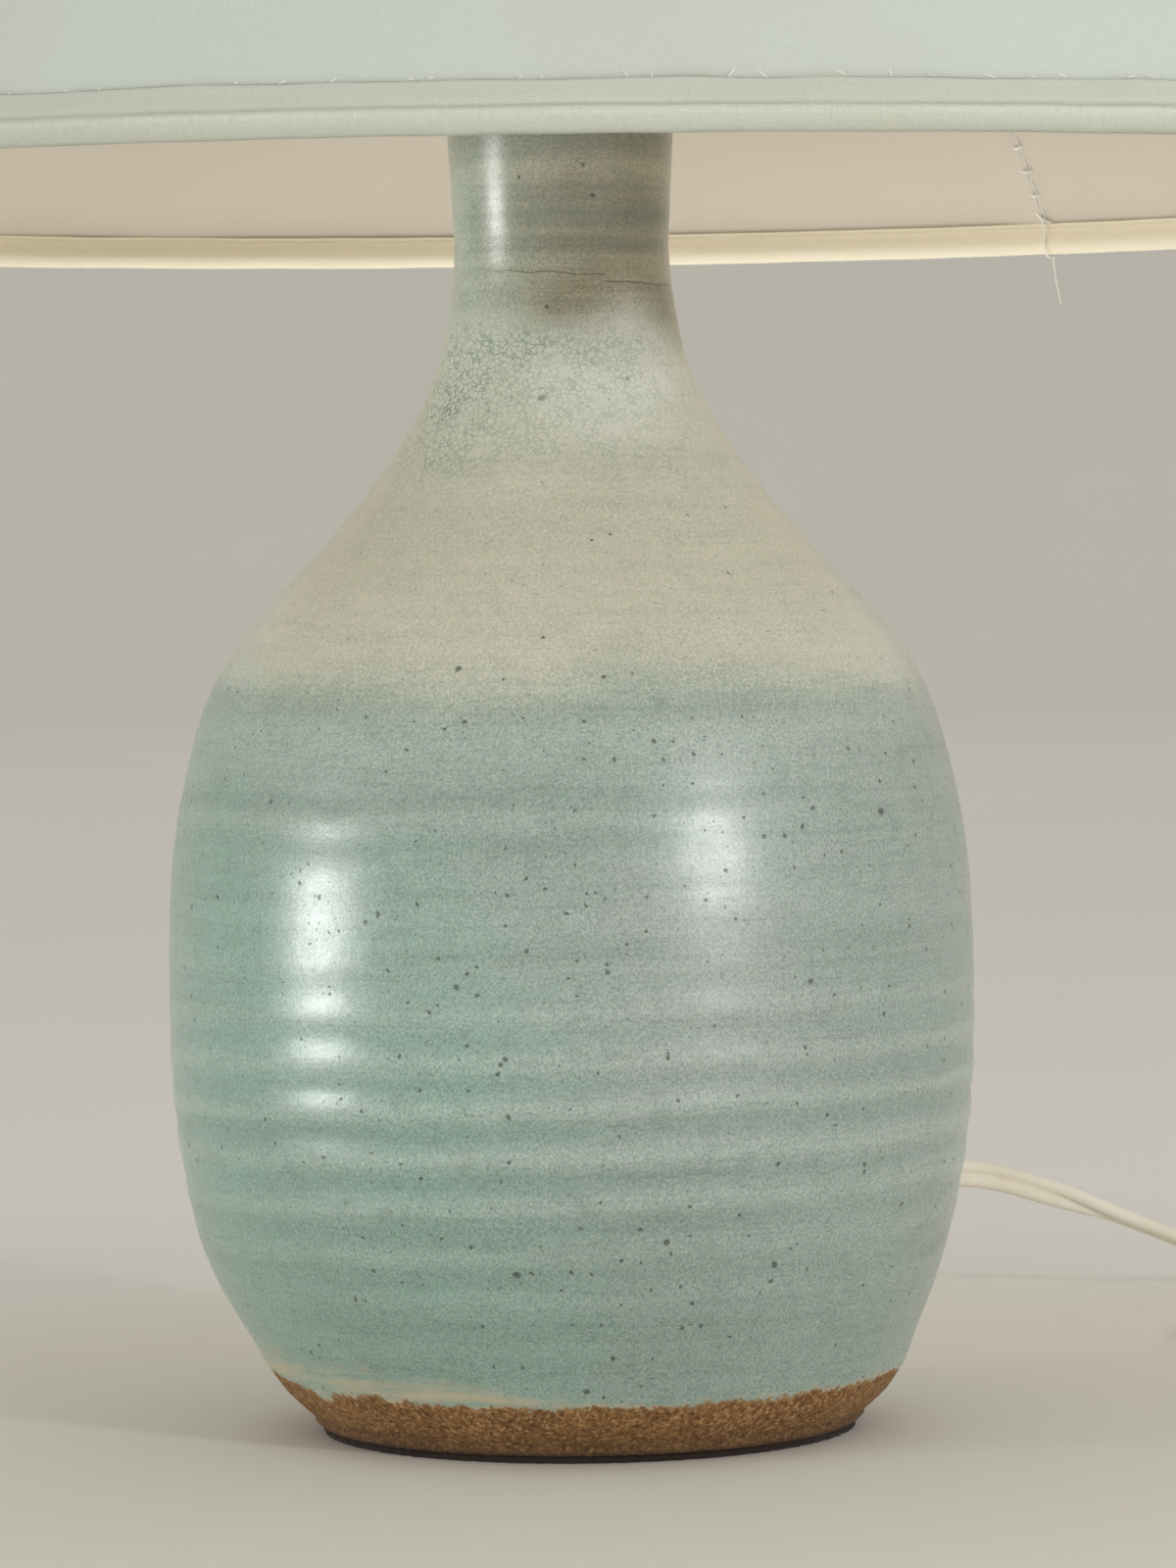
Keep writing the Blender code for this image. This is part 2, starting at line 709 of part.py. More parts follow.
def harp_saddle(root, brass):
    """A strip bent up on both sides, with a shoulder where each prong starts."""
    prong = PRONG_SPACING / 2
    middle = SADDLE_THICKNESS / 2
    rise = SADDLE_RISE - middle
    half = [(SADDLE_FLAT, 0)]
    widths = [SADDLE_WIDTH]
    for out, up in SADDLE_SHARES:
        half.append((SADDLE_FLAT + out * (prong - SADDLE_FLAT), up * rise))
        widths.append(SADDLE_WIDTH + out * (SADDLE_KNEE_WIDTH - SADDLE_WIDTH))
    half += [(prong, rise), (prong, rise + SEAT_GAP), (prong, rise + PRONG_HEIGHT)]
    widths += [SADDLE_KNEE_WIDTH, PRONG_WIDTH, PRONG_WIDTH]
    path = [(-x, z) for x, z in half[::-1]] + half
    rings = strip_rings(path, widths[::-1] + widths, SADDLE_THICKNESS)
    saddle = lofted("harp_saddle", rings, brass, root, (0, 0, SADDLE_Z + middle))
    outline = (
        (0, -OVERRUN),
        (NIPPLE_HOLE_RADIUS, -OVERRUN),
        (NIPPLE_HOLE_RADIUS, OVERRUN),
        (0, OVERRUN),
    )
    bore = turned("saddle_bore", outline, RING_SIDES, None, root, (0, 0, SADDLE_Z + middle))
    combine(saddle, bore, "DIFFERENCE")


def key_drill(root, name, radius, depth):
    """A cutter along the switch key's axis, from outside the lampholder inwards."""
    outline = ((0, -depth), (radius, -depth), (radius, OVERRUN), (0, OVERRUN))
    place = (0, -SOCKET_CAP_RADIUS, KEY_Z)
    return turned(name, outline, BUSH_SIDES, None, root, place, (QUARTER_TURN, 0, 0))


def socket_shells(root, brass, fibre, alloy):
    """Cap, shell, insulating sleeve and screw shell of the lampholder."""
    path = [(SOCKET_CAP_RADIUS, SOCKET_CAP_HEIGHT)]
    rise = SOCKET_CAP_HEIGHT - COLLAR_HEIGHT - SHELL_OVERLAP
    for out, up in DOME_SHARES[::-1]:
        radius = COLLAR_RADIUS + out * (SOCKET_CAP_RADIUS - COLLAR_RADIUS)
        path.append((radius, COLLAR_HEIGHT + up * rise))
    path += [(COLLAR_RADIUS, COLLAR_HEIGHT), (COLLAR_RADIUS, 0), (NIPPLE_HOLE_RADIUS, 0)]
    outline = [(radius, height) for radius, height in path]
    outline.append((NIPPLE_HOLE_RADIUS, COLLAR_HEIGHT + SOCKET_CAP_WALL))
    inner = offset_line(path[: len(DOME_SHARES) + 1], -SOCKET_CAP_WALL)[::-1]
    outline += [tuple(point) for point in inner if point.x > NIPPLE_HOLE_RADIUS]
    turned("socket_cap", outline, SOCKET_SIDES, brass, root, (0, 0, SOCKET_Z))
    path = [(SHELL_RADIUS, 0)]
    for share in SHELL_BEAD_SHARES:
        centre = share * SHELL_HEIGHT
        path.append((SHELL_RADIUS, centre - SHELL_BEAD_HEIGHT / 2))
        path.append((SHELL_RADIUS + SHELL_BEAD, centre))
        path.append((SHELL_RADIUS, centre + SHELL_BEAD_HEIGHT / 2))
    path.append((SHELL_RADIUS, SHELL_HEIGHT))
    shell = turned(
        "socket_shell", walled(path, SHELL_WALL), SOCKET_SIDES, brass, root, (0, 0, SHELL_Z)
    )
    outline = (
        (SLEEVE_BORE_RADIUS, 0),
        (SLEEVE_BORE_RADIUS + SLEEVE_WALL, 0),
        (SLEEVE_BORE_RADIUS + SLEEVE_WALL, SLEEVE_HEIGHT),
        (SLEEVE_BORE_RADIUS, SLEEVE_HEIGHT),
    )
    sleeve = turned("socket_sleeve", outline, SOCKET_SIDES, fibre, root, (0, 0, SHELL_Z))
    hole = KEY_SHAFT_RADIUS + KEY_PLAY
    reach = SOCKET_CAP_RADIUS - CORE_RADIUS
    combine(shell, key_drill(root, "shell_key_hole", hole, reach), "DIFFERENCE")
    combine(sleeve, key_drill(root, "sleeve_key_hole", hole, reach), "DIFFERENCE")
    radius = CORE_RADIUS - SCREW_SHELL_INSET
    outline = (
        (radius - SCREW_SHELL_WALL, 0),
        (radius, 0),
        (radius, SCREW_SHELL_HEIGHT),
        (radius - SCREW_SHELL_WALL, SCREW_SHELL_HEIGHT),
    )
    turned("screw_shell", outline, SOCKET_SIDES, alloy, root, (0, 0, CONTACT_Z))


def socket_core(root, phenolic, brass):
    """The switch body with two terminal flats, its screws and the centre contact."""
    outline = (
        (0, 0),
        (CORE_RADIUS - CORE_CHAMFER, 0),
        (CORE_RADIUS, CORE_CHAMFER),
        (CORE_RADIUS, CORE_HEIGHT),
        (0, CORE_HEIGHT),
    )
    core = turned("socket_core", outline, SOCKET_SIDES, phenolic, root, (0, 0, CORE_Z))
    combine(
        core,
        key_drill(
            root,
            "core_key_hole",
            KEY_SHAFT_RADIUS + SEAT_GAP,
            SOCKET_CAP_RADIUS - CORE_RADIUS + KEY_SHAFT_DEPTH + SEAT_GAP,
        ),
        "DIFFERENCE",
    )
    head = ((0, 0), (TERMINAL_RADIUS, 0), (TERMINAL_RADIUS, TERMINAL_HEAD), (0, TERMINAL_HEAD))
    level = CORE_Z + CORE_FLAT_LIFT + CORE_FLAT_HEIGHT / 2
    for name, side in (("left", -1), ("right", 1)):
        half = CORE_FLAT_WIDTH / 2
        low = CORE_RADIUS - CORE_FLAT_DEPTH
        high = CORE_RADIUS + OVERRUN
        rings = []
        for height in (CORE_FLAT_LIFT, CORE_FLAT_LIFT + CORE_FLAT_HEIGHT):
            rings.append(
                [
                    (side * low, -half, height),
                    (side * high, -half, height),
                    (side * high, half, height),
                    (side * low, half, height),
                ]
            )
        combine(core, lofted(name + "_flat", rings, None, root, (0, 0, CORE_Z)), "DIFFERENCE")
        place = (side * (low + SEAT_GAP), 0, level)
        turn = (0, side * QUARTER_TURN, 0)
        turned("terminal_screw_" + name, head, BUSH_SIDES, brass, root, place, turn)
    outline = (
        (0, 0),
        (CONTACT_RADIUS, 0),
        (CONTACT_RADIUS * 2 / 3, CONTACT_HEIGHT),
        (0, CONTACT_HEIGHT),
    )
    turned("centre_contact", outline, BUSH_SIDES, brass, root, (0, 0, CONTACT_Z))


def switch_key(root, phenolic):
    """A round shaft with a waisted grip; it turns about its own Z, which points to the front."""
    start = SHELL_RADIUS + KEY_SHAFT_REACH
    axis = group("switch_axis", (0, 0, KEY_Z), root)
    depth = CORE_RADIUS - KEY_SHAFT_DEPTH
    place = (0, -depth, 0)
    turn = (QUARTER_TURN, 0, 0)
    length = start - depth
    top = length + KEY_BEVEL
    outline = ((0, 0), (KEY_SHAFT_RADIUS, 0), (KEY_SHAFT_RADIUS, top), (0, top))
    key = turned("switch_key", outline, BUSH_SIDES, phenolic, axis, place, turn)
    half = KEY_WIDTH / 2
    outline = [(out * half, length + along * KEY_LENGTH) for out, along in KEY_SHARES]
    outline += [(-x, z) for x, z in outline[::-1]]
    middle = length + KEY_LENGTH / 2
    small = 1 - KEY_BEVEL / half
    face = KEY_THICKNESS / 2
    edge = face - KEY_BEVEL
    rings = []
    for y, scale in ((-face, small), (-edge, 1), (edge, 1), (face, small)):
        rings.append([(x * scale, y, middle + (z - middle) * scale) for x, z in outline])
    grip = lofted("key_grip", rings, None, axis, place, turn)
    combine(key, grip, "UNION")


def bulb(root, glass, alloy, black, brass):
    """Globe bulb: glass envelope, screw base, insulator and tip contact, on one axis."""
    axis = group("bulb_axis", (0, 0, BULB_Z), root)
    outline = (
        (0, 0),
        (BULB_TIP_RADIUS * 2 / 3, 0),
        (BULB_TIP_RADIUS, BULB_TIP_HEIGHT / 2),
        (BULB_TIP_RADIUS, BULB_TIP_HEIGHT),
        (0, BULB_TIP_HEIGHT),
    )
    turned("bulb_contact", outline, BUSH_SIDES, brass, axis)
    level = BULB_TIP_HEIGHT + SEAT_GAP
    outline = (
        (0, 0),
        (BULB_TIP_RADIUS + BULB_GROOVE, 0),
        (BULB_INSULATOR_RADIUS, BULB_INSULATOR_HEIGHT),
        (0, BULB_INSULATOR_HEIGHT),
    )
    turned("bulb_insulator", outline, BULB_SIDES, black, axis, (0, 0, level))
    level += BULB_INSULATOR_HEIGHT + SEAT_GAP
    path = [(BULB_INSULATOR_RADIUS, 0)]
    for index in range(BULB_GROOVES):
        low = BULB_BASE_HEIGHT * (index + 1) / (BULB_GROOVES + 2)
        path.append((BULB_BASE_RADIUS, low - BULB_BASE_HEIGHT / (BULB_GROOVES + 2) / 2))
        path.append((BULB_BASE_RADIUS - BULB_GROOVE, low))
    path.append((BULB_BASE_RADIUS, BULB_BASE_HEIGHT * (BULB_GROOVES + 1) / (BULB_GROOVES + 2)))
    path.append((BULB_BASE_RADIUS, BULB_BASE_HEIGHT))
    turned("bulb_base", walled(path, BULB_BASE_WALL), BULB_SIDES, alloy, axis, (0, 0, level))
    level += BULB_BASE_HEIGHT + SEAT_GAP
    height = BULB_LENGTH - level
    knots = []
    for out, up in BULB_SHARES:
        radius = BULB_NECK_RADIUS + out * (BULB_RADIUS - BULB_NECK_RADIUS)
        knots.append((radius, up * height))
    path = [tuple(point) for point in smooth_curve(knots, 1)]
    widest = BULB_SHARES[-1][1] * height
    crown = height - widest
    for step in range(1, BULB_CROWN_STEPS + 1):
        angle = QUARTER_TURN * step / BULB_CROWN_STEPS
        across = BULB_RADIUS * math.cos(angle) if step < BULB_CROWN_STEPS else 0
        path.append((across, widest + crown * math.sin(angle)))
    inner = offset_line(path, BULB_GLASS)
    inner[-1].x = 0
    outline = path + [tuple(point) for point in inner[::-1]]
    turned("bulb_glass", outline, BULB_SIDES, glass, axis, (0, 0, level))


def harp_line():
    """The right half of the harp's wire from its foot to the top, in the XZ plane."""
    foot = PRONG_SPACING / 2
    start = HARP_FOOT_Z + HARP_STRAIGHT
    widest = HARP_TOP_Z - HARP_ARCH
    line = [(foot, HARP_FOOT_Z)]
    for step in range(HARP_LEG_STEPS + 1):
        t = step / HARP_LEG_STEPS
        ease = t * t * (3 - 2 * t)
        line.append((foot + ease * (HARP_HALF_WIDTH - foot), start + t * (widest - start)))
    for step in range(1, HARP_ARCH_STEPS // 2 + 1):
        angle = QUARTER_TURN * step / (HARP_ARCH_STEPS // 2)
        across = HARP_HALF_WIDTH * math.cos(angle)
        line.append((across, widest + HARP_ARCH * math.sin(angle)))
    return line


def harp(root, brass):
    """The bent wire, the two ferrules that lock its feet and the stud on its top."""
    right = harp_line()
    line = [(-x, 0, z) for x, z in right[:-1]] + [(x, 0, z) for x, z in right[::-1]]
    wire = [Vector(point) for point in line]
    tube("harp", wire, HARP_WIRE_RADIUS, HARP_WIRE_RESOLUTION, brass, root)
    wide = math.hypot(SADDLE_THICKNESS / 2, PRONG_WIDTH / 2) + SEAT_GAP
    snug = HARP_WIRE_RADIUS + SEAT_GAP
    step = FERRULE_HEIGHT - FERRULE_NECK
    outline = (
        (wide, 0),
        (wide + FERRULE_WALL, 0),
        (wide + FERRULE_WALL, step),
        (snug + FERRULE_WALL, FERRULE_HEIGHT),
        (snug, FERRULE_HEIGHT),
        (snug, step),
        (wide, step - FERRULE_WALL),
    )
    for name, side in (("left", -1), ("right", 1)):
        place = (side * PRONG_SPACING / 2, 0, FERRULE_Z)
        turned("ferrule_" + name, outline, FERRULE_SIDES, brass, root, place)
    outline = (
        (0, 0),
        (STUD_SHOULDER_RADIUS, 0),
        (STUD_SHOULDER_RADIUS, STUD_SHOULDER_HEIGHT),
        (STUD_RADIUS, STUD_SHOULDER_HEIGHT),
        (STUD_RADIUS, STUD_SHOULDER_HEIGHT + STUD_HEIGHT),
        (0, STUD_SHOULDER_HEIGHT + STUD_HEIGHT),
    )
    turned("harp_stud", outline, STUD_SIDES, brass, root, (0, 0, STUD_Z))


def cone_slant():
    """Unit vector up the shade's side, from the bottom wire's centre to the top wire's."""
    run = Vector((SHADE_TOP_RADIUS - SHADE_BOTTOM_RADIUS, TOP_RING_Z - BOTTOM_RING_Z))
    return run.normalized(), run.length


def cone_point(up, out):
    """Radius and height of a point so far up the slant and so far out from the wires' line."""
    slant, _ = cone_slant()
    normal = Vector((slant.y, -slant.x))
    base = Vector((SHADE_BOTTOM_RADIUS, BOTTOM_RING_Z))
    return tuple(base + up * slant + out * normal)


def trim_path():
    """Middle line of the folded tape: down outside, round the wire and up inside."""
    face = RING_WIRE_RADIUS + SEAT_GAP
    outer = face + SHADE_WALL + SEAT_GAP + TRIM_THICKNESS / 2
    inner = -(face + TRIM_THICKNESS / 2)
    against = face - SEAT_GAP - TRIM_THICKNESS / 2
    centre = (outer + inner) / 2
    turn = (outer - inner) / 2
    path = [(TRIM_OUTSIDE, outer)]
    for step in range(TRIM_STEPS + 1):
        angle = HALF_TURN * step / TRIM_STEPS
        path.append((-turn * math.sin(angle), centre + turn * math.cos(angle)))
    path += [(TRIM_TURN, inner), (2 * TRIM_TURN, against), (TRIM_INSIDE, against)]
    return path


def trim_outline(flipped):
    """Closed outline of the tape at the bottom wire or, flipped, at the top wire."""
    _, length = cone_slant()
    half = TRIM_THICKNESS / 2
    path = [cone_point(length - up if flipped else up, out) for up, out in trim_path()]
    return offset_line(path, half) + offset_line(path, -half)[::-1]


def arm_path():
    """An arm's middle line out from the washer, level and then up to the top ring."""
    level = SPIDER_WASHER_THICKNESS / 2
    start = SPIDER_WASHER_RADIUS - SPIDER_ARM_FLAT / 2
    bend = start + SPIDER_ARM_FLAT
    rise = SHADE_TOP_RISE - level
    path = [(start, level), (bend, level)]
    for out, up in SPIDER_ARM_SHARES:
        path.append((bend + out * (SHADE_TOP_RADIUS - bend), level + up * rise))
    return path


def shade(root, fabric, tape, steel):
    """The lined cone, its two wires, the spider in the top one, and the two folded tapes."""
    axis = group("shade_axis", (0, 0, 0), root)
    _, length = cone_slant()
    face = RING_WIRE_RADIUS + SEAT_GAP
    outline = [
        cone_point(0, face),
        cone_point(0, face + SHADE_WALL),
        cone_point(length, face + SHADE_WALL),
        cone_point(length, face),
    ]
    turned("shade_cone", outline, SHADE_SIDES, fabric, axis)
    outline = wire_section(SHADE_BOTTOM_RADIUS, BOTTOM_RING_Z, RING_WIRE_RADIUS, RING_WIRE_SIDES)
    turned("bottom_ring", outline, SHADE_SIDES, steel, axis)
    turned("bottom_trim", trim_outline(False), SHADE_SIDES, tape, axis)
    top_trim = turned("top_trim", trim_outline(True), SHADE_TOP_SIDES, tape, axis)
    hub = group("spider_axis", (0, 0, SPIDER_Z), axis)
    outline = wire_section(SHADE_TOP_RADIUS, SHADE_TOP_RISE, RING_WIRE_RADIUS, RING_WIRE_SIDES)
    spider = turned("spider", outline, SHADE_TOP_SIDES, steel, hub)
    outline = (
        (STUD_HOLE_RADIUS, 0),
        (SPIDER_WASHER_RADIUS, 0),
        (SPIDER_WASHER_RADIUS, SPIDER_WASHER_THICKNESS),
        (STUD_HOLE_RADIUS, SPIDER_WASHER_THICKNESS),
    )
    combine(spider, turned("spider_washer", outline, RING_SIDES, None, hub), "UNION")
    for index in range(SPIDER_ARMS):
        turn = (0, 0, SPIDER_ARM_START + math.tau * index / SPIDER_ARMS)
        rings = rod_rings(arm_path(), SPIDER_ARM_RADIUS, SPIDER_ARM_SIDES)
        combine(spider, lofted(f"arm_{index}", rings, None, hub, turn=turn), "UNION")
        rings = rod_rings(arm_path(), SPIDER_ARM_RADIUS + SEAT_GAP, SPIDER_ARM_SIDES)
        combine(top_trim, lofted(f"arm_notch_{index}", rings, None, hub, turn=turn), "DIFFERENCE")


def finial(root, brass):
    """A round base that takes the thread and a turned knob on it."""
    axis = group("finial_axis", (0, 0, FINIAL_Z), root)
    outline = (
        (STUD_HOLE_RADIUS, 0),
        (FINIAL_BASE_RADIUS, 0),
        (FINIAL_BASE_RADIUS, FINIAL_BASE_HEIGHT / 5),
        (FINIAL_WAIST_RADIUS, FINIAL_BASE_HEIGHT / 2),
        (FINIAL_WAIST_RADIUS, FINIAL_BASE_HEIGHT * 4 / 5),
        ((FINIAL_WAIST_RADIUS + FINIAL_BASE_RADIUS) / 2, FINIAL_BASE_HEIGHT),
        (STUD_HOLE_RADIUS, FINIAL_BASE_HEIGHT),
    )
    turned("finial_base", outline, FINIAL_SIDES, brass, axis)
    outline = [(0, FINIAL_BORE_DEPTH), (STUD_HOLE_RADIUS, FINIAL_BORE_DEPTH), (STUD_HOLE_RADIUS, 0)]
    outline += [(out * FINIAL_KNOB_RADIUS, up * FINIAL_KNOB_HEIGHT) for out, up in FINIAL_SHARES]
    place = (0, 0, FINIAL_BASE_HEIGHT + SEAT_GAP)
    turned("finial_knob", outline, FINIAL_SIDES, brass, axis, place)


def coil_line():
    """The wound flex: in on the table, a climb where the spiral reverses, and out on top."""
    half_turns = math.tau * COIL_TURNS / 2
    line = [(COIL_OUTER_RADIUS, 2 * FLEX_RADIUS, FLEX_HEIGHT)]
    for step in range(COIL_TURNS * COIL_POINTS_PER_TURN + 1):
        angle = math.tau * step / COIL_POINTS_PER_TURN
        inward = half_turns - abs(angle - half_turns)
        radius = COIL_OUTER_RADIUS - COIL_PITCH * inward / math.tau
        t = min(max((angle - half_turns) / HALF_TURN + 1 / 2, 0), 1)
        height = FLEX_HEIGHT + COIL_LAYER_RISE * t * t * (3 - 2 * t)
        line.append((radius * math.cos(angle), -radius * math.sin(angle), height))
    line.append((COIL_OUTER_RADIUS, -2 * FLEX_RADIUS, FLEX_HEIGHT + COIL_LAYER_RISE))
    return [Vector((x + COIL_CENTRE[0], y + COIL_CENTRE[1], z)) for x, y, z in line]


def least_self_gap(line):
    """Smallest air between turns of a tube, measured between points over half a turn apart."""
    apart = COIL_POINTS_PER_TURN // 2
    least = math.inf
    for index, point in enumerate(line):
        for other, nearer in zip(line[index + apart :], line[index + apart + 1 :]):
            run = nearer - other
            share = min(max((point - other).dot(run) / run.length_squared, 0), 1)
            least = min(least, (point - other - share * run).length)
    return least - 2 * FLEX_RADIUS


def flex(root, ivory):
    """The flex inside the body, its free stretches, and the coil of the unseen length."""
    start, _, end = bush_span()
    level = FOOT_Z + CORD_HOLE_HEIGHT
    away = 2 * FLEX_RADIUS
    route = [bearing_point(start - SEAT_GAP, level), bearing_point(start - SEAT_GAP - away, level)]
    route += [bearing_point(out, up) for out, up in INNER_ROUTE]
    route += [Vector((0, 0, LOWER_NUT_Z - 2 * NIPPLE_TAIL)), Vector((0, 0, CORE_Z - SEAT_GAP))]
    inner = evenly_spaced(smooth_curve(route, ROUTE_STEPS), FLEX_POINT_SPACING)
    tube("inner_flex", inner, FLEX_RADIUS, FLEX_RESOLUTION, ivory, root)
    coil = coil_line()
    route = [bearing_point(end + SEAT_GAP, level), bearing_point(end + SEAT_GAP + away, level)]
    route += [Vector(point) for point in LEAD_ROUTE]
    route += [coil[0] + Vector((0, away, 0)), coil[0] + Vector((0, SEAT_GAP, 0))]
    lead = evenly_spaced(smooth_curve(route, ROUTE_STEPS), FLEX_POINT_SPACING)
    tube("cord_lead", lead, FLEX_RADIUS, FLEX_RESOLUTION, ivory, root)
    tube("cord_coil", coil, FLEX_RADIUS, COIL_RESOLUTION, ivory, root)
    entry = Vector((*PLUG_ENTRY, PLUG_HALF_THICKNESS + SEAT_GAP))
    route = [coil[-1] - Vector((0, SEAT_GAP, 0)), coil[-1] - Vector((0, away, 0))]
    route += [Vector(point) for point in TAIL_ROUTE]
    route += [entry + Vector((0, away, 0)), entry + Vector((0, SEAT_GAP, 0))]
    tail = evenly_spaced(smooth_curve(route, ROUTE_STEPS), FLEX_POINT_SPACING / 2)
    tube("cord_tail", tail, FLEX_RADIUS, FLEX_RESOLUTION, ivory, root)
    lengths = [line_length(part) for part in (lead, coil, tail)]
    print("flex outside the lamp, m:", round(sum(lengths), 4), [round(part, 4) for part in lengths])
    print("least gap of the coil to itself, mm:", round(least_self_gap(coil) * 1000, 2))


def plug(root, ivory, brass):
    """A tapered two-blade plug that lies flat on the table."""
    rings = []
    for along, across, thick in PLUG_SHARES:
        ring = []
        for step in range(PLUG_RING_POINTS):
            angle = math.tau * (step + 1 / 2) / PLUG_RING_POINTS
            x = math.copysign(math.sqrt(abs(math.cos(angle))), math.cos(angle))
            z = math.copysign(math.sqrt(abs(math.sin(angle))), math.sin(angle))
            across_x = x * across * PLUG_HALF_WIDTH
            ring.append((across_x, -along * PLUG_LENGTH, z * thick * PLUG_HALF_THICKNESS))
        rings.append(ring)
    place = (*PLUG_ENTRY, PLUG_HALF_THICKNESS + SEAT_GAP)
    lofted("plug_body", rings, ivory, root, place)
    half = BLADE_THICKNESS / 2
    tall = BLADE_WIDTH / 2
    nose = tall - BLADE_NOSE
    rings = []
    for side in (-half, half):
        rings.append(
            [
                (side, 0, -tall),
                (side, BLADE_NOSE - BLADE_LENGTH, -tall),
                (side, -BLADE_LENGTH, -nose),
                (side, -BLADE_LENGTH, nose),
                (side, BLADE_NOSE - BLADE_LENGTH, tall),
                (side, 0, tall),
            ]
        )
    y = PLUG_ENTRY[1] - PLUG_LENGTH - SEAT_GAP
    for name, side in (("left", -1), ("right", 1)):
        x = PLUG_ENTRY[0] + side * BLADE_SPACING / 2
        lofted("plug_blade_" + name, rings, brass, root, (x, y, PLUG_HALF_THICKNESS + SEAT_GAP))


def main():
    clear_scene()
    glaze = finish("celadon glazed stoneware", (0.34, 0.43, 0.37), 0.22)
    felt = finish("brown felt", (0.045, 0.030, 0.020), 0.95)
    brass = finish("lacquered brass", (0.72, 0.50, 0.20), 0.28, 1.0)
    steel = finish("zinc plated steel", (0.56, 0.57, 0.58), 0.38, 1.0)
    alloy = finish("aluminium", (0.66, 0.65, 0.62), 0.30, 1.0)
    rubber = finish("grey rubber", (0.10, 0.10, 0.10), 0.80)
    fibre = finish("fibre sleeve", (0.36, 0.26, 0.17), 0.85)
    phenolic = finish("black phenolic", (0.018, 0.015, 0.013), 0.30)
    black = finish("black glass", (0.010, 0.010, 0.012), 0.12)
    glass = finish("opal glass", (0.86, 0.85, 0.82), 0.18)
    fabric = finish("cream shade fabric", (0.62, 0.60, 0.52), 0.85)
    tape = finish("cream shade tape", (0.58, 0.57, 0.50), 0.80)
    ivory = finish("ivory PVC", (0.62, 0.56, 0.43), 0.45)
    lamp = group("lamp", (0, 0, 0))
    felt_pad(lamp, felt)
    ceramic_body(lamp, glaze)
    cord_bush(lamp, ivory)
    neck_fittings(lamp, brass, steel, rubber)
    harp_saddle(lamp, brass)
    socket_shells(lamp, brass, fibre, alloy)
    socket_core(lamp, phenolic, brass)
    switch_key(lamp, phenolic)
    bulb(lamp, glass, alloy, black, brass)
    harp(lamp, brass)
    shade(lamp, fabric, tape, steel)
    finial(lamp, brass)
    flex(lamp, ivory)
    plug(lamp, ivory, brass)


main()
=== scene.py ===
"""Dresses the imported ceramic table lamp: glaze, cloth, flex and metal round a fixed frame.

Metres, +Z up, -Y towards the camera. The origin is the centre of the foot, on the table.
"""

import math

import bmesh
import bpy
import numpy as np
from mathutils import Matrix, Vector


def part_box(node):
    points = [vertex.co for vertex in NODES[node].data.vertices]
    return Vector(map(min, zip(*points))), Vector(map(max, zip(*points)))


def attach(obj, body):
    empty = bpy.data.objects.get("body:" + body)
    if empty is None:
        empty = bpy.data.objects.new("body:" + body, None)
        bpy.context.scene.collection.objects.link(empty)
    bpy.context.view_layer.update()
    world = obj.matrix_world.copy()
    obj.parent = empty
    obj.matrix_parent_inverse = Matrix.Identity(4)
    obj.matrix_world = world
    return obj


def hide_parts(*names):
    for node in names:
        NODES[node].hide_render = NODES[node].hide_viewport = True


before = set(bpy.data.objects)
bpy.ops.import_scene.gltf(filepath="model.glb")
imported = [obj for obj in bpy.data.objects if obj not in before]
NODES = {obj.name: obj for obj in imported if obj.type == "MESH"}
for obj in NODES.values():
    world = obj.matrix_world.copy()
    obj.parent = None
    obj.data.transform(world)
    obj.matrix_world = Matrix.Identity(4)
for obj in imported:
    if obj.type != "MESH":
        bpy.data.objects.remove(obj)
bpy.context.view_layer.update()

bl_info = {
    "name": "Ceramic table lamp",
    "version": (1, 0, 0),
    "blender": (4, 5, 0),
    "location": "View3D > Sidebar > Lamp",
    "description": "Builds the glaze, shade, flex and fittings of a table lamp round its packed frame",
    "category": "Object",
}

WELD = 0.000002
TAU = math.tau
QUARTER = math.pi / 2

# Camera, found from the outline of the body and the rim of the shade
CAMERA_PLACE = (0.0039, -1.283, 0.1805)
CAMERA_PITCH = 0.0379
CAMERA_ROLL = 0.0138
CAMERA_LENS = 144.0
CAMERA_SENSOR = 36.0

# Stage: radius of the flat floor, its bend, the backdrop's top, and the strength of the room's light
FLOOR_REACH = 5.6
FLOOR_BEND = 1.2
FLOOR_TOP = 2.0
ROOM_LIGHT = 0.70
# Softboxes: azimuth and elevation in degrees, distance, width, height, watts, what they face,
# whether glossy pieces show them, and the spread of their grid in degrees
SOFTBOXES = {
    "left_softbox": (-73.5, 1.6, 1.7, 0.25, 0.16, 0.86, (0, 0, 0.11), True, 60),
    "right_softbox": (41, 11, 1.7, 0.12, 0.12, 7, (0, 0, 0.12), True, 180),
    "front_panel": (45, 10, 2.0, 2.8, 1.2, 1.75, (0, 0, 0.20), True, 100),
    "floor_panel": (0, -90, 1.0, 1.8, 0.8, 6, (0, -0.92, 1.03), True, 180),
    "back_panel": (0, -90, 1.0, 1.2, 0.4, 1.5, (-0.22, 0.36, 1.03), False, 180),
    "top_softbox": (20, 62, 1.9, 1.2, 1.2, 1.8, (0, 0, 0.25), True, 180),
}

# Body: the same shares of height and radius as its solid
FOOT_RADIUS = 0.0568
BELLY_RADIUS = 0.0821
BELLY_HEIGHT = 0.0865
NECK_RADIUS = 0.0218
NECK_HEIGHT = 0.2435
LIP_RADIUS = 0.0232
LIP_ROUND = 0.0025
BODY_WALL = 0.0065
BODY_FLOOR = 0.009
FOOT_CHAMFER = 0.0020
FOOT_RING_WIDTH = 0.011
FOOT_RECESS = 0.0015
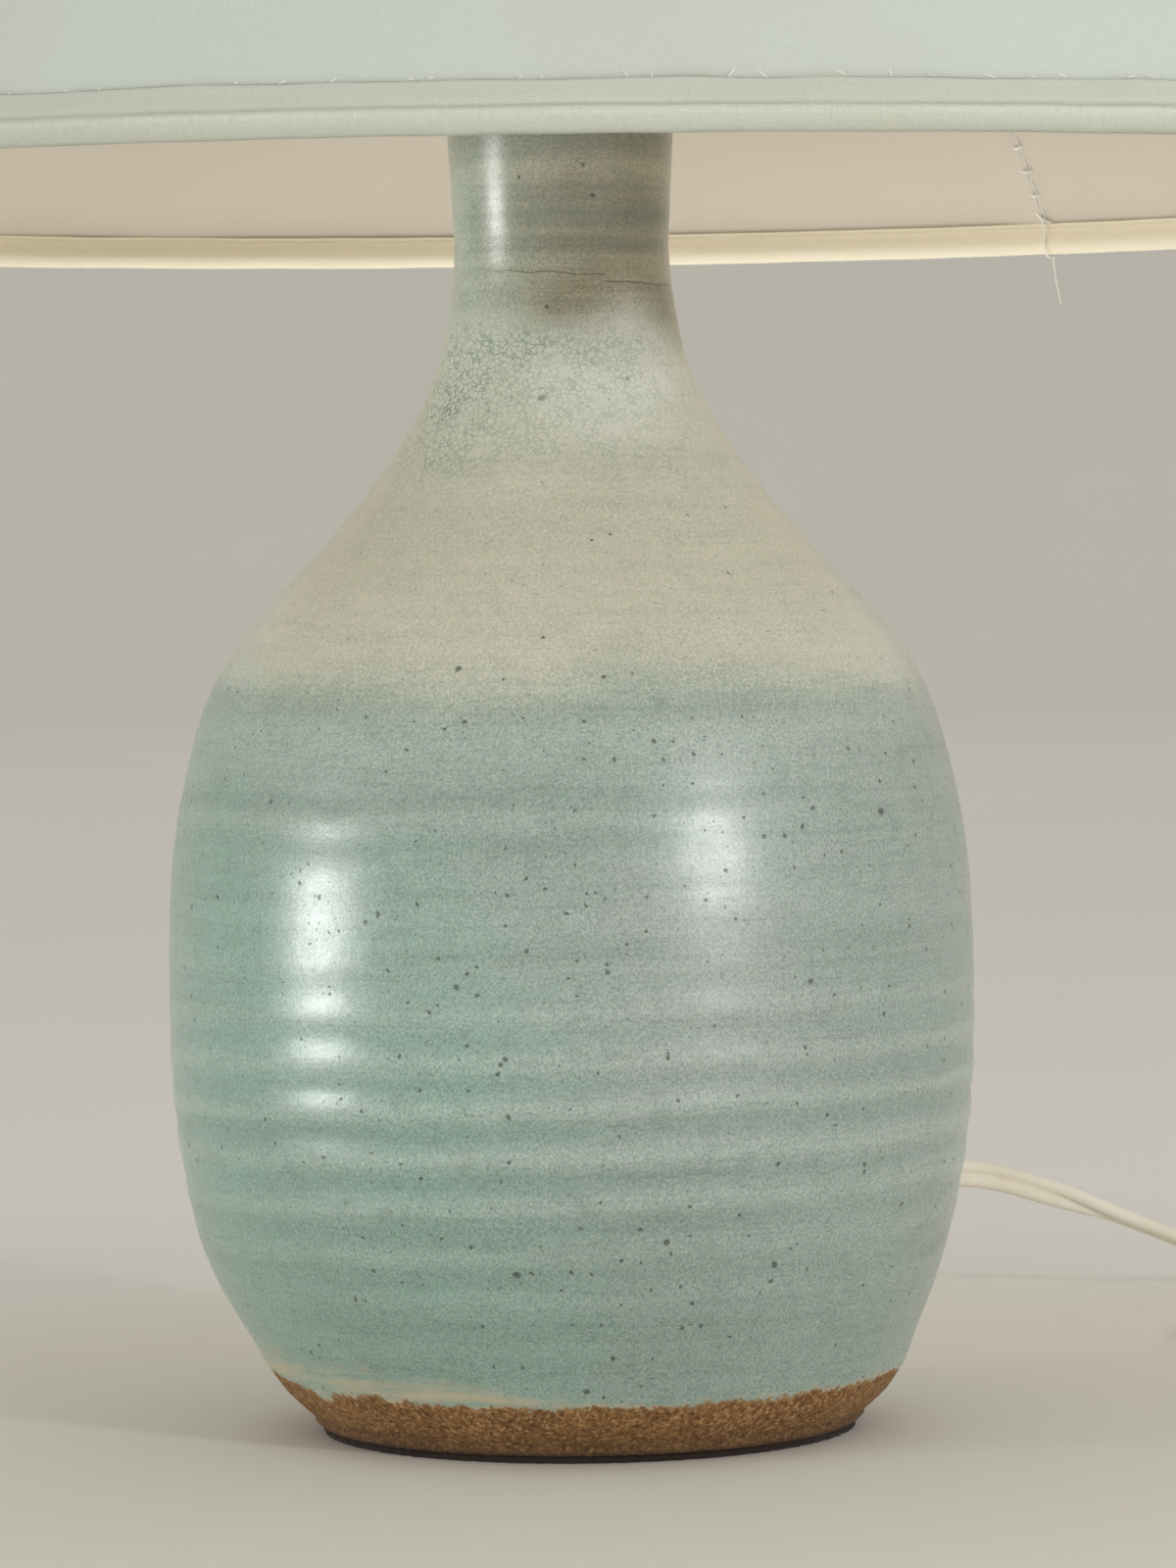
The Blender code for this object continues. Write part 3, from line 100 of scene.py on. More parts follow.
# Marks of making: lines of the rib, a slow lean, and a ledge between two heights of the neck
RIB_LINES = 0.00004
BODY_LEAN = 0.00030
LEDGE_RISE = (0.2430, 0.2490)
LEDGE_DEPTH = 0.00022
# Throwing rings: turn of the first crest, and the middle height and spread of their two zones
RING_TURN = 2.58
LOW_RINGS = (0.067, 0.025)
HIGH_RINGS = (0.1265, 0.006)
HIGH_RINGS_BEARING = 0.93
# Glaze edge: slow dips, short teeth and one run, with its bearing and width; its round and its roll
EDGE_DIPS = 0.0013
EDGE_TEETH = 0.0005
RUN_LENGTH = 0.0022
RUN_BEARING = math.radians(215)
RUN_WIDTH = 0.018
EDGE_ROUND = 0.0009
EDGE_ROLL = 0.00015
LOWER_SHARES = ((0.10, 0.258), (0.22, 0.462), (0.36, 0.689), (0.52, 0.851), (0.74, 0.966), (1.0, 1.0))
UPPER_SHARES = (
    (0.17, 0.986),
    (0.30, 0.930),
    (0.41, 0.839),
    (0.50, 0.681),
    (0.60, 0.440),
    (0.70, 0.231),
    (0.80, 0.083),
    (0.90, 0.017),
)
FELT_FRAY = 0.00022
# Iron spots seen on the front: across and up from the axis and foot, and radius
IRON_SPOTS = (
    (-0.0210, 0.1573, 0.0007),
    (-0.0220, 0.0960, 0.0007),
    (-0.0003, 0.0978, 0.0005),
    (0.0614, 0.1276, 0.0009),
    (0.0613, 0.1335, 0.0005),
    (0.0468, 0.0955, 0.0007),
    (0.0615, 0.0880, 0.0005),
    (-0.0112, 0.0400, 0.0008),
    (0.0180, 0.0460, 0.0007),
    (0.0390, 0.0402, 0.0007),
    (0.0384, 0.0370, 0.0005),
    (0.0226, 0.0335, 0.0005),
    (0.0020, 0.0160, 0.0007),
    (-0.0370, 0.1100, 0.0006),
    (-0.0395, 0.1085, 0.0005),
    (0.0150, 0.1130, 0.0005),
    (-0.0043, 0.2103, 0.0008),
    (0.0480, 0.0160, 0.0006),
    (-0.0127, 0.0822, 0.0005),
    (-0.0136, 0.0813, 0.0005),
    (0.0278, 0.0877, 0.0004),
    (0.0065, 0.2509, 0.0006),
    (-0.0081, 0.2547, 0.0004),
    (0.0034, 0.2578, 0.0004),
    (0.0047, 0.2570, 0.0005),
    (-0.0030, 0.2287, 0.0005),
    (0.0130, 0.2140, 0.0005),
)

# Flex hole and bush
HOLE_RADIUS = 0.0045
HOLE_HEIGHT = 0.0400
BEARING = math.radians(34)
BUSH_START = 0.0675
BUSH_COLLAR = 0.0775
BUSH_END = 0.1000
BUSH_RIBS = 5
GRIP_RIDGES = 9
GRIP_DEPTH = 0.0003

# Free flex: the route of its solids, then the coil and the run to the plug
LEAD_ROUTE = (
    (0.0561, 0.0832, 0.0400),
    (0.0585, 0.0867, 0.0400),
    (0.0745, 0.1105, 0.0396),
    (0.0910, 0.1350, 0.0374),
    (0.1075, 0.1575, 0.0312),
    (0.1230, 0.1775, 0.0243),
    (0.1370, 0.1945, 0.0176),
    (0.1500, 0.2095, 0.0108),
    (0.1630, 0.2235, 0.0055),
    (0.1760, 0.2365, 0.0028),
    (0.1879, 0.2458, 0.0022),
    (0.2021, 0.2490, 0.0022),
    (0.2163, 0.2458, 0.0022),
    (0.2278, 0.2370, 0.0022),
    (0.2342, 0.2241, 0.0022),
    (0.2360, 0.2060, 0.0022),
    (0.2363, 0.1830, 0.0022),
    (0.2360, 0.1600, 0.0022),
    (0.2357, 0.1400, 0.0022),
    (0.2357, 0.1200, 0.0022),
)
TAIL_ROUTE = (
    (0.2357, 0.1040, 0.0054),
    (0.2352, 0.0900, 0.0045),
    (0.2340, 0.0750, 0.0030),
    (0.2326, 0.0600, 0.0030),
    (0.2317, 0.0480, 0.0052),
    (0.2315, 0.0342, 0.0079),
    (0.2315, 0.0303, 0.0079),
)
INNER_ROUTE = (
    (0.0672, 0.0400),
    (0.0630, 0.0400),
    (0.0500, 0.0420),
    (0.0320, 0.0560),
    (0.0160, 0.0850),
    (0.0060, 0.1250),
    (0.0010, 0.1650),
    (0.0, 0.2300),
    (0.0, 0.2920),
)
COIL_CENTRE = (0.1906, 0.1100)
COIL_RADIUS = 0.0451
COIL_PITCH = 0.0065
COIL_TURNS = 6
COIL_RISE = 0.0034
FLEX_SETTLE = 0.0005
FLEX_STEP = 0.0024
COIL_STEPS = 56
# Half the turn of each core's outline, where it meets the web between the two
WEB_TURN = math.radians(157)
# The flat flex turns from its edge to its flat side between these lengths of its run
TWIST_START = 0.078
TWIST_END = 0.130

# Harp saddle, harp and lampholder
SADDLE_THICKNESS = 0.0015
SADDLE_FLAT = 0.0110
SADDLE_WIDTHS = (0.0125, 0.0118, 0.0106, 0.0100, 0.0100, 0.0054, 0.0054)
SADDLE_RISE = 0.0120
SADDLE_SHARES = ((0.70, 0.58), (0.94, 0.80), (1.0, 0.90))
HARP_WIRE = 0.0021
HARP_STRAIGHT = 0.0175
HARP_ARCH = 0.0585
STUD_THREAD = 0.00094
BULB_THREAD = 0.00363
NIPPLE_HOLE = 0.0051
SHEET_BRASS = 0.0008

# Shade
RING_WIRE = 0.0015
SPIDER_ARM = 0.0014
SPIDER_ARMS = 3
SPIDER_START = math.radians(90)
LAMINATE_IN = 0.0018
LAMINATE_OUT = 0.0030
SHADE_COLUMNS = 480
SHADE_ROWS = 48
SHADE_RIPPLE = 0.00022
SHADE_SEED = 31
SEAM_BEARING = math.radians(28.0)
STITCH_SPACING = 0.0073
STITCH_RADIUS = 0.00040
RUNNING_THREAD_RADIUS = 0.00026
THREAD_END_RADIUS = 0.00020
TAPE_PUCKER = 0.00010
TAPE_WANDER = 0.00030
HAIR_COUNT = 170
HAIR_RADIUS = 0.00006
# Bands of a weave that are narrower than this, painted shade and highlight lines among them, are broken in
# places
THIN_BAND = 0.001
# End of the seam's thread: up the slant and out from the wire, over the tape and then down
THREAD_END = (
    (0.0068, 0.00060),
    (0.0052, 0.00040),
    (0.0036, -0.00060),
    (0.0024, -0.00210),
    (0.0003, -0.00305),
    (-0.0016, -0.00285),
    (-0.0031, -0.00170),
    (-0.0037, -0.00020),
)
THREAD_HANG = (0.0018, 0.0, -0.0115)
# Folded tape: up the slant and out from the wire, from the outer edge round to the inner edge
TAPE_PATH = (
    (0.0054, 0.00350),
    (0.0040, 0.00342),
    (0.0024, 0.00335),
    (0.0010, 0.00328),
    (-0.0004, 0.00312),
    (-0.0011, 0.00335),
    (-0.0017, 0.00330),
    (-0.0023, 0.00275),
    (-0.0028, 0.00160),
    (-0.0030, 0.00020),
    (-0.0025, -0.00110),
    (-0.0013, -0.00200),
    (0.0003, -0.00225),
    (0.0015, -0.00200),
    (0.0024, -0.00110),
    (0.0032, 0.00030),
    (0.0041, 0.00110),
    (0.0050, 0.00128),
)


def linear(code):
    """Linear red, green, blue and alpha of an sRGB hex code."""
    shares = [int(code[place : place + 2], 16) / 255 for place in (1, 3, 5)]
    return (*[s / 12.92 if s <= 0.04045 else ((s + 0.055) / 1.055) ** 2.4 for s in shares], 1.0)


def length_property(name, description, default):
    """A length in metres that a user may change."""
    return bpy.props.FloatProperty(name=name, description=description, default=default, unit="LENGTH")


def colour_property(name, description, code):
    """A colour that a user may change; its default is an sRGB hex code."""
    return bpy.props.FloatVectorProperty(
        name=name, description=description, subtype="COLOR", size=4, min=0, max=1, default=linear(code)
    )


class LampSizes(bpy.types.PropertyGroup):
    """Sizes of the lamp's dressing"""

    ring_pitch: length_property("Throwing ring pitch", "Height of one ring left by the fingers", 0.0095)
    ring_depth: length_property("Throwing ring depth", "Height of a ring's crest over its middle", 0.00018)
    glaze_line: length_property("Glaze line", "Height of the glaze's lower edge over the table", 0.0127)
    foot_offset: length_property("Foot offset", "How far off centre the foot was trimmed", 0.0025)
    glaze_thickness: length_property("Glaze thickness", "How far the glaze stands out from the clay", 0.00045)
    flex_width: length_property("Flex width", "Width of the flat flex", 0.006)
    flex_thickness: length_property("Flex thickness", "Thickness of the flat flex", 0.003)
    flex_length: length_property("Flex length", "Length of the free flex", 1.8)
    tape_thickness: length_property("Tape thickness", "Thickness of the shade's folded tape", 0.0004)
    thread_spacing: length_property("Thread spacing", "Spacing of the threads in the shade's cloth", 0.0008)


class LampColours(bpy.types.PropertyGroup):
    """Colours of the lamp and of its floor"""

    celadon: colour_property("Celadon", "Glaze where it lies thick", "#90B3A6")
    celadon_grey: colour_property("Grey celadon", "Glaze where it lies thinner", "#9EA9A3")
    shoulder: colour_property("Shoulder", "Cream glaze on the shoulder", "#D2D3C4")
    neck: colour_property("Neck", "Grey glaze on the neck", "#B5C4B9")
    neck_warm: colour_property("Warm neck", "Brown tint on the neck", "#A09B85")
    clay: colour_property("Clay", "Bare toasted clay of the foot", "#8F673D")
    cloth: colour_property("Cloth", "Outside of the shade", "#C6CCC3")
    lining: colour_property("Lining", "Inside of the shade", "#DCD4C6")
    tape: colour_property("Tape", "Folded tape round the shade's rims", "#C4C8BB")
    vinyl: colour_property("Flex", "Ivory flex and plug", "#F0EADC")
    brass: colour_property("Brass", "Lacquered brass", "#C9A663")
    floor: colour_property("Floor", "Floor and backdrop", "#ECE8E0")


def sizes():
    """The sizes that the panel shows."""
    return bpy.context.scene.lamp_sizes


def colours():
    """The colours that the panel shows."""
    return bpy.context.scene.lamp_colours


def add(tree, kind, inputs=None, **settings):
    """Adds a node with its settings; an input is a value or the socket that feeds it."""
    made = tree.nodes.new("ShaderNode" + kind)
    for key, value in settings.items():
        setattr(made, key, value)
    for key, value in (inputs or {}).items():
        if isinstance(value, bpy.types.NodeSocket):
            tree.links.new(value, made.inputs[key])
        else:
            made.inputs[key].default_value = value
    return made.outputs


def new_finish(name, **values):
    """A material with a Principled shader; values are set on the shader's own sockets."""
    made = bpy.data.materials.new(name)
    made.use_nodes = True
    shader = made.node_tree.nodes["Principled BSDF"]
    for key, value in values.items():
        shader.inputs[key.replace("_", " ")].default_value = value
    return made, made.node_tree, shader


def smooth_line(knots, steps):
    """Catmull-Rom curve through the knots: a cubic between each pair, with steps points in each."""
    knots = np.asarray(knots, float)
    line = np.concatenate([[2 * knots[0] - knots[1]], knots, [2 * knots[-1] - knots[-2]]])
    before, start, end, after = line[:-3], line[1:-2], line[2:-1], line[3:]
    t = (np.arange(steps) / steps)[None, :, None]
    before, start, end, after = (part[:, None, :] for part in (before, start, end, after))
    bend = 2 * before - 5 * start + 4 * end - after
    twist = 3 * start - before - 3 * end + after
    curve = (2 * start + (end - before) * t + bend * t**2 + twist * t**3) / 2
    return np.concatenate([curve.reshape(-1, knots.shape[1]), knots[-1:]])


def line_steps(line):
    """Distance along a line at each of its points."""
    return np.concatenate([[0], np.cumsum(np.linalg.norm(np.diff(line, axis=0), axis=1))])


def spaced(line, count):
    """A line's points at count equal steps of its own length."""
    along = line_steps(line)
    wanted = np.linspace(0, along[-1], count)
    return np.stack([np.interp(wanted, along, column) for column in line.T], axis=1)


def shifted(path, distance):
    """A plane path moved to its left, each corner along its mitre."""
    steps = np.diff(path, axis=0)
    steps /= np.linalg.norm(steps, axis=1, keepdims=True)
    before = np.concatenate([steps[:1], steps])
    after = np.concatenate([steps, steps[-1:]])
    across = np.stack([-(before + after)[:, 1], (before + after)[:, 0]], axis=1)
    return path + across * 2 * distance / (across**2).sum(1, keepdims=True)


def walled(path, wall):
    """Closed outline of a sheet of this wall, whose outer face is the path."""
    return np.concatenate([path, shifted(path, wall)[::-1]])


def eased(corners, radius, steps=4, closed=True):
    """Corners of an outline rounded: each becomes a short parabola between its two sides."""
    corners = np.asarray(corners, float)
    if closed:
        before, after = np.roll(corners, 1, axis=0), np.roll(corners, -1, axis=0)
    else:
        before = np.concatenate([corners[:1], corners[:-1]])
        after = np.concatenate([corners[1:], corners[-1:]])
    back, ahead = before - corners, after - corners
    far_back = np.linalg.norm(back, axis=1, keepdims=True)
    far_ahead = np.linalg.norm(ahead, axis=1, keepdims=True)
    reach = np.minimum(radius, np.minimum(far_back, far_ahead) * 0.45)
    start = corners + back / np.maximum(far_back, WELD) * reach
    end = corners + ahead / np.maximum(far_ahead, WELD) * reach
    t = np.linspace(0, 1, steps)[None, :, None]
    curve = start[:, None] * (1 - t) ** 2 + corners[:, None] * 2 * t * (1 - t) + end[:, None] * t**2
    if closed:
        return curve.reshape(-1, 2)
    return np.concatenate([corners[:1], curve[1:-1].reshape(-1, 2), corners[-1:]])


def ease(value, start, end):
    """Smooth step: 0 before the start, 1 past the end, and a cubic without a kink between them."""
    t = np.clip((value - start) / (end - start), 0, 1)
    return t * t * (3 - 2 * t)


def waves(angle, height, seed, count, low, high, tall):
    """Smooth ripple between -1 and 1: a sum of sines round the axis and up it, whole in each turn.

    count sines have low to high waves in a turn, and one wave is at least tall metres high.
    """
    draw = np.random.default_rng(seed)
    turns = draw.integers(low, high + 1, count)
    ups = draw.uniform(-1, 1, count) * TAU / tall
    starts = draw.uniform(0, TAU, count)
    total = sum(np.sin(n * angle + up * height + start) for n, up, start in zip(turns, ups, starts))
    return total / math.sqrt(count) / 1.4


def turned(outline, sides, swell=None, closed=True):
    """Surface of revolution: radius and height of the outline, carried once round the Z axis.

    swell gives what is added to the radius, from the angle and the place in the outline.
    """
    outline = np.asarray(outline, float)
    angle = np.arange(sides) * TAU / sides
    radius = np.repeat(outline[:, :1], sides, axis=1)
    height = np.repeat(outline[:, 1:], sides, axis=1)
    if swell is not None:
        radius = np.maximum(radius + swell(angle[None, :], radius, height), 0) * (radius > 0)
    points = np.stack([radius * np.cos(angle), radius * np.sin(angle), height], axis=2)
    return {"points": points, "rows": closed, "columns": True}


def swept(path, section, side, up=None):
    """Tube: the section's points, across side and up, carried along a path of points.

    side is one vector or one for each point; up follows from it and the path's direction.
    """
    path = np.asarray(path, float)
    run = np.gradient(path, axis=0)
    run /= np.linalg.norm(run, axis=1, keepdims=True)
    side = np.broadcast_to(np.asarray(side, float), path.shape)
    rise = np.cross(side, run) if up is None else up
    section = np.asarray(section, float)
    if section.ndim == 2:
        section = np.broadcast_to(section, (len(path), *section.shape))
    points = path[:, None] + section[..., :1] * side[:, None] + section[..., 1:] * rise[:, None]
    return {"points": points, "rows": False, "columns": True, "caps": True}


def circle(radius, sides):
    """Points of a circle, anticlockwise."""
    angle = np.arange(sides) * TAU / sides
    return np.stack([radius * np.cos(angle), radius * np.sin(angle)], axis=1)


def placed(surface, matrix):
    """A surface with its points moved and turned by a matrix."""
    matrix = np.array(matrix)
    moved = surface["points"] @ matrix[:3, :3].T + matrix[:3, 3]
    return {**surface, "points": moved}


def piece(name, surfaces, finish, body, replaces=(), sharp=40, merge=True):
    """One object from one or more surfaces: a quad between each four neighbouring grid points."""
    corners, loops, totals, flat = [], [], [], []
    first = 0
    mapped = all("uv" in surface for surface in surfaces)
    for surface in surfaces:
        points = surface["points"]
        rows, columns = points.shape[:2]
        row = np.arange(rows if surface["rows"] else rows - 1)[:, None]
        column = np.arange(columns if surface["columns"] else columns - 1)[None, :]
        near, far = row, row + 1
        left, right = column, column + 1
        quads = [(near, left), (near, right), (far, right), (far, left)]
        index = [(r % rows) * columns + (c % columns) + first for r, c in quads]
        loops.append(np.stack(np.broadcast_arrays(*index), axis=-1).reshape(-1))
        totals.append(np.full(row.size * column.size, 4))
        if mapped:
            uv = surface["uv"]
            spread = [np.broadcast_arrays(r, c) for r, c in quads]
            flat.append(np.stack([uv[r, c] for r, c in spread], axis=2).reshape(-1, 2))
        if surface.get("caps"):
            loops.append(np.arange(columns)[::-1] + first)
            loops.append(np.arange(columns) + first + (rows - 1) * columns)
            totals.append(np.array([columns, columns]))
        corners.append(points.reshape(-1, 3))
        first += rows * columns
    corners, loops, totals = (np.concatenate(part) for part in (corners, loops, totals))
    mesh = bpy.data.meshes.new(name)
    mesh.vertices.add(len(corners))
    mesh.vertices.foreach_set("co", corners.astype(np.float32).ravel())
    mesh.loops.add(len(loops))
    mesh.loops.foreach_set("vertex_index", loops.astype(np.int32))
    mesh.polygons.add(len(totals))
    mesh.polygons.foreach_set("loop_start", (np.cumsum(totals) - totals).astype(np.int32))
    mesh.polygons.foreach_set("loop_total", totals.astype(np.int32))
    if mapped:
        layer = mesh.uv_layers.new(name="Flat")
        layer.data.foreach_set("uv", np.concatenate(flat).astype(np.float32).ravel())
    mesh.update(calc_edges=True)
    mesh.validate()
    if merge:
        tidy(mesh)
    mesh.shade_smooth()
    mesh.set_sharp_from_angle(angle=math.radians(sharp))
    mesh.materials.append(finish)
    made = bpy.data.objects.new(name, mesh)
    bpy.context.scene.collection.objects.link(made)
    if body:
        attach(made, body)
    if replaces:
        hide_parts(*replaces)
    return made


def tidy(mesh):
    """Joins doubled points, drops faces without area and turns all faces outwards."""
    shape = bmesh.new()
    shape.from_mesh(mesh)
    bmesh.ops.remove_doubles(shape, verts=shape.verts, dist=WELD)
    bmesh.ops.dissolve_degenerate(shape, edges=shape.edges, dist=WELD)
    bmesh.ops.delete(shape, geom=[edge for edge in shape.edges if not edge.link_faces], context="EDGES")
    bmesh.ops.recalc_face_normals(shape, faces=shape.faces)
    shape.to_mesh(mesh)
    shape.free()


def drilled(target, surface):
    """Cuts a closed surface out of a piece, and leaves no modifier on it."""
    cutter = piece(target.name + "_cutter", [surface], target.data.materials[0], None)
    cut = target.modifiers.new("cut", "BOOLEAN")
    cut.operation = "DIFFERENCE"
    cut.object = cutter
    cut.solver = "EXACT"
    graph = bpy.context.evaluated_depsgraph_get()
    mesh = bpy.data.meshes.new_from_object(target.evaluated_get(graph))
    target.modifiers.remove(cut)
    target.data = mesh
    bpy.data.objects.remove(cutter)


def rod(start, end, radius, sides=32):
    """A closed straight cylinder between two points."""
    start, end = Vector(start), Vector(end)
    length = (end - start).length
    outline = ((0, 0), (radius, 0), (radius, length), (0, length))
    turn = (end - start).to_track_quat("Z", "Y").to_matrix().to_4x4()
    return placed(turned(outline, sides, closed=False), Matrix.Translation(start) @ turn)


def pinholes(tree, spot, blotch, top, zone):
    """Dots where the melt boiled or iron burst through it: nearness to a middle, as a 0 to 1 mask.

    Cells of 1 to 2 mm are bent, and few of them hold a dot; flecks in cells of 4 mm are drawn out
    along the turning. They crowd in the blotches, and thin out on the shoulder and the neck.
    """
    shake = add(tree, "TexNoise", {"Vector": spot, "Scale": 1300.0, "Detail": 2.0})["Color"]
    shake = add(tree, "VectorMath", {0: shake, 3: 0.0011}, operation="SCALE")[0]
    bent = add(tree, "VectorMath", {0: spot, 1: shake})[0]
    flecked = add(tree, "Mapping", {"Vector": bent, "Scale": (1.0, 1.0, 2.6)})[0]
    pits = add(tree, "Value")[0]
    crowd = add(tree, "MapRange", {"Value": blotch, "From Min": 0.35, "From Max": 0.70})[0]
    crowd = add(tree, "Math", {0: top, 1: -0.7, 2: crowd}, operation="MULTIPLY_ADD")[0]
    crowd = add(tree, "Math", {0: zone, 1: -0.5, 2: crowd}, operation="MULTIPLY_ADD")[0]
    kinds = (
        (bent, 800.0, 0.50, 0.24, 0.55),
        (bent, 520.0, 0.82, 0.27, 1.0),
        (flecked, 260.0, 0.80, 0.14, 0.9),
    )
    for vector, scale, rare, most, strong in kinds:
        cells = add(tree, "TexVoronoi", {"Vector": vector, "Scale": scale})
        luck = add(tree, "SeparateColor", {0: cells["Color"]})
        chance = add(tree, "Math", {0: crowd, 1: 0.16, 2: luck[0]}, operation="MULTIPLY_ADD")[0]
        size = {"Value": chance, "From Min": rare, "From Max": 1.05, "To Min": 0.0, "To Max": most}
        size = add(tree, "MapRange", size)[0]
        depth = add(tree, "Math", {0: size, 1: cells["Distance"]}, operation="SUBTRACT")[0]
        dot = add(tree, "MapRange", {"Value": depth, "From Max": 0.05, "To Max": strong})[0]
        pits = add(tree, "Math", {0: pits, 1: dot}, operation="MAXIMUM")[0]
    # Iron spots that burst through the glaze
    for across, height, radius in IRON_SPOTS:
        depth = math.sqrt(max(body_radius_at(height) ** 2 - across**2, 0))
        centre = (across + 0.0005, -depth + 0.0005, height + 0.0005)
        away = add(tree, "VectorMath", {0: bent, 1: centre}, operation="DISTANCE")["Value"]
        near = {"Value": away, "From Min": radius * 1.2, "From Max": radius * 0.7}
        dot = add(tree, "MapRange", near)[0]
        pits = add(tree, "Math", {0: pits, 1: dot}, operation="MAXIMUM")[0]
    return pits


def crackled(tree, body, spot, axes, wavy, patch, blotch):
    """Crackle over the body's colour: a net of 1.3 mm cells, strongest where neck meets shoulder.

    The net is the distance to the nearest cell's edge; it is returned too, for the relief.
    """
    torn = add(tree, "TexNoise", {"Vector": spot, "Scale": 700.0, "Detail": 3.0})["Color"]
    torn = add(tree, "VectorMath", {0: torn, 3: 0.0020}, operation="SCALE")[0]
    edges = {"Vector": add(tree, "VectorMath", {0: spot, 1: torn})[0], "Scale": 780.0}
    edges = add(tree, "TexVoronoi", edges, feature="DISTANCE_TO_EDGE")["Distance"]
    lines = add(tree, "MapRange", {"Value": edges, "From Min": 0.14, "From Max": 0.03})[0]
    rise = {"Value": wavy, "From Min": 0.186, "From Max": 0.198}
    start = add(tree, "MapRange", rise, interpolation_type="SMOOTHSTEP")[0]
    fall = {"Value": wavy, "From Min": 0.232, "From Max": 0.220}
    stop = add(tree, "MapRange", fall, interpolation_type="SMOOTHSTEP")[0]
    left = {"Value": axes["X"], "From Min": 0.030, "From Max": -0.012, "To Min": 0.15}
    left = add(tree, "MapRange", left)[0]
    zone = add(tree, "Math", {0: start, 1: stop}, operation="MULTIPLY")[0]
    zone = add(tree, "Math", {0: zone, 1: left}, operation="MULTIPLY")[0]
    where = add(tree, "MapRange", {"Value": patch, "From Min": 0.30, "From Max": 0.52})[0]
    zone = add(tree, "Math", {0: zone, 1: where}, operation="MULTIPLY")[0]
    share = add(tree, "Math", {0: zone, 1: 0.75}, operation="MULTIPLY")[0]
    body = add(tree, "Mix", {0: share, 6: body, 7: linear("#CAD8CD")}, data_type="RGBA")[2]
    broken = add(tree, "MapRange", {"Value": blotch, "From Min": 0.35, "From Max": 0.58, "To Min": 0.35})[0]
    lines = add(tree, "Math", {0: lines, 1: broken}, operation="MULTIPLY")[0]
    net = add(tree, "Math", {0: zone, 1: lines}, operation="MULTIPLY")[0]
    share = add(tree, "Math", {0: net, 1: 0.85}, operation="MULTIPLY")[0]
    body = add(tree, "Mix", {0: share, 6: body, 7: linear("#76897C")}, data_type="RGBA")[2]
    return body, net


def hairline(tree, body, spot, axes):
    """A hairline crack over the body's colour: how far a point is from a sloping, wavering level.

    It runs round the front of the neck, a little downhill, and steps down once.
    """
    level = add(tree, "Math", {0: axes["X"], 1: 0.055, 2: axes["Z"]}, operation="MULTIPLY_ADD")[0]
    beyond = add(tree, "Math", {0: axes["X"], 1: 0.0088}, operation="GREATER_THAN")[0]
    level = add(tree, "Math", {0: beyond, 1: 0.0012, 2: level}, operation="MULTIPLY_ADD")[0]
    wobble = add(tree, "TexNoise", {"Vector": spot, "Scale": 130.0, "Detail": 3.0})[0]
    level = add(tree, "Math", {0: wobble, 1: 0.0022, 2: level}, operation="MULTIPLY_ADD")[0]
    level = add(tree, "Math", {0: level, 1: 0.2367}, operation="SUBTRACT")[0]
    level = add(tree, "Math", {0: level}, operation="ABSOLUTE")[0]
    crack = {"Value": level, "From Min": 0.00024, "From Max": 0.00006, "To Max": 0.7}
    crack = add(tree, "MapRange", crack)[0]
    seen = add(tree, "MapRange", {"Value": axes["X"], "From Min": -0.018, "From Max": -0.008})[0]
    crack = add(tree, "Math", {0: crack, 1: seen}, operation="MULTIPLY")[0]
    return add(tree, "Mix", {0: crack, 6: body, 7: linear("#4A4638")}, data_type="RGBA")[2]


def toasted_clay(tree, spot, axes, above):
    """Bare stoneware: toasted in 14 mm patches, with pale grog and dark iron of 1 mm.

    It is darker towards the table and pale in a halo under the glaze; the grog is returned too, for the
    relief.
    """
    toast = add(tree, "TexNoise", {"Vector": spot, "Scale": 70.0, "Detail": 6.0, "Roughness": 0.7})[0]
    toast = add(tree, "MapRange", {"Value": toast, "From Min": 0.38, "From Max": 0.66})[0]
    clay = add(tree, "Mix", {0: toast, 6: colours().clay, 7: linear("#75502B")}, data_type="RGBA")[2]
    grog = add(tree, "TexNoise", {"Vector": spot, "Scale": 1000.0, "Detail": 4.0, "Roughness": 0.85})[0]
    share = add(tree, "MapRange", {"Value": grog, "From Min": 0.53, "From Max": 0.61, "To Max": 0.90})[0]
    clay = add(tree, "Mix", {0: share, 6: clay, 7: linear("#C6A06C")}, data_type="RGBA")[2]
    share = add(tree, "MapRange", {"Value": grog, "From Min": 0.46, "From Max": 0.36, "To Max": 0.95})[0]
    clay = add(tree, "Mix", {0: share, 6: clay, 7: linear("#2B1A0C")}, data_type="RGBA")[2]
    # Darker over the lowest few millimetres of the foot, towards the table
    darker_low = {"Value": axes["Z"], "From Min": 0.0060, "From Max": 0.0022, "To Max": 0.6}
    darker_low = add(tree, "MapRange", darker_low)[0]
    clay = add(tree, "Mix", {0: darker_low, 6: clay, 7: linear("#3F3328")}, data_type="RGBA")[2]
    halo = add(tree, "MapRange", {"Value": above, "From Min": -0.9, "From Max": -0.1, "To Max": 0.45})[0]
    clay = add(tree, "Mix", {0: halo, 6: clay, 7: linear("#B0946C")}, data_type="RGBA")[2]
    return clay, grog


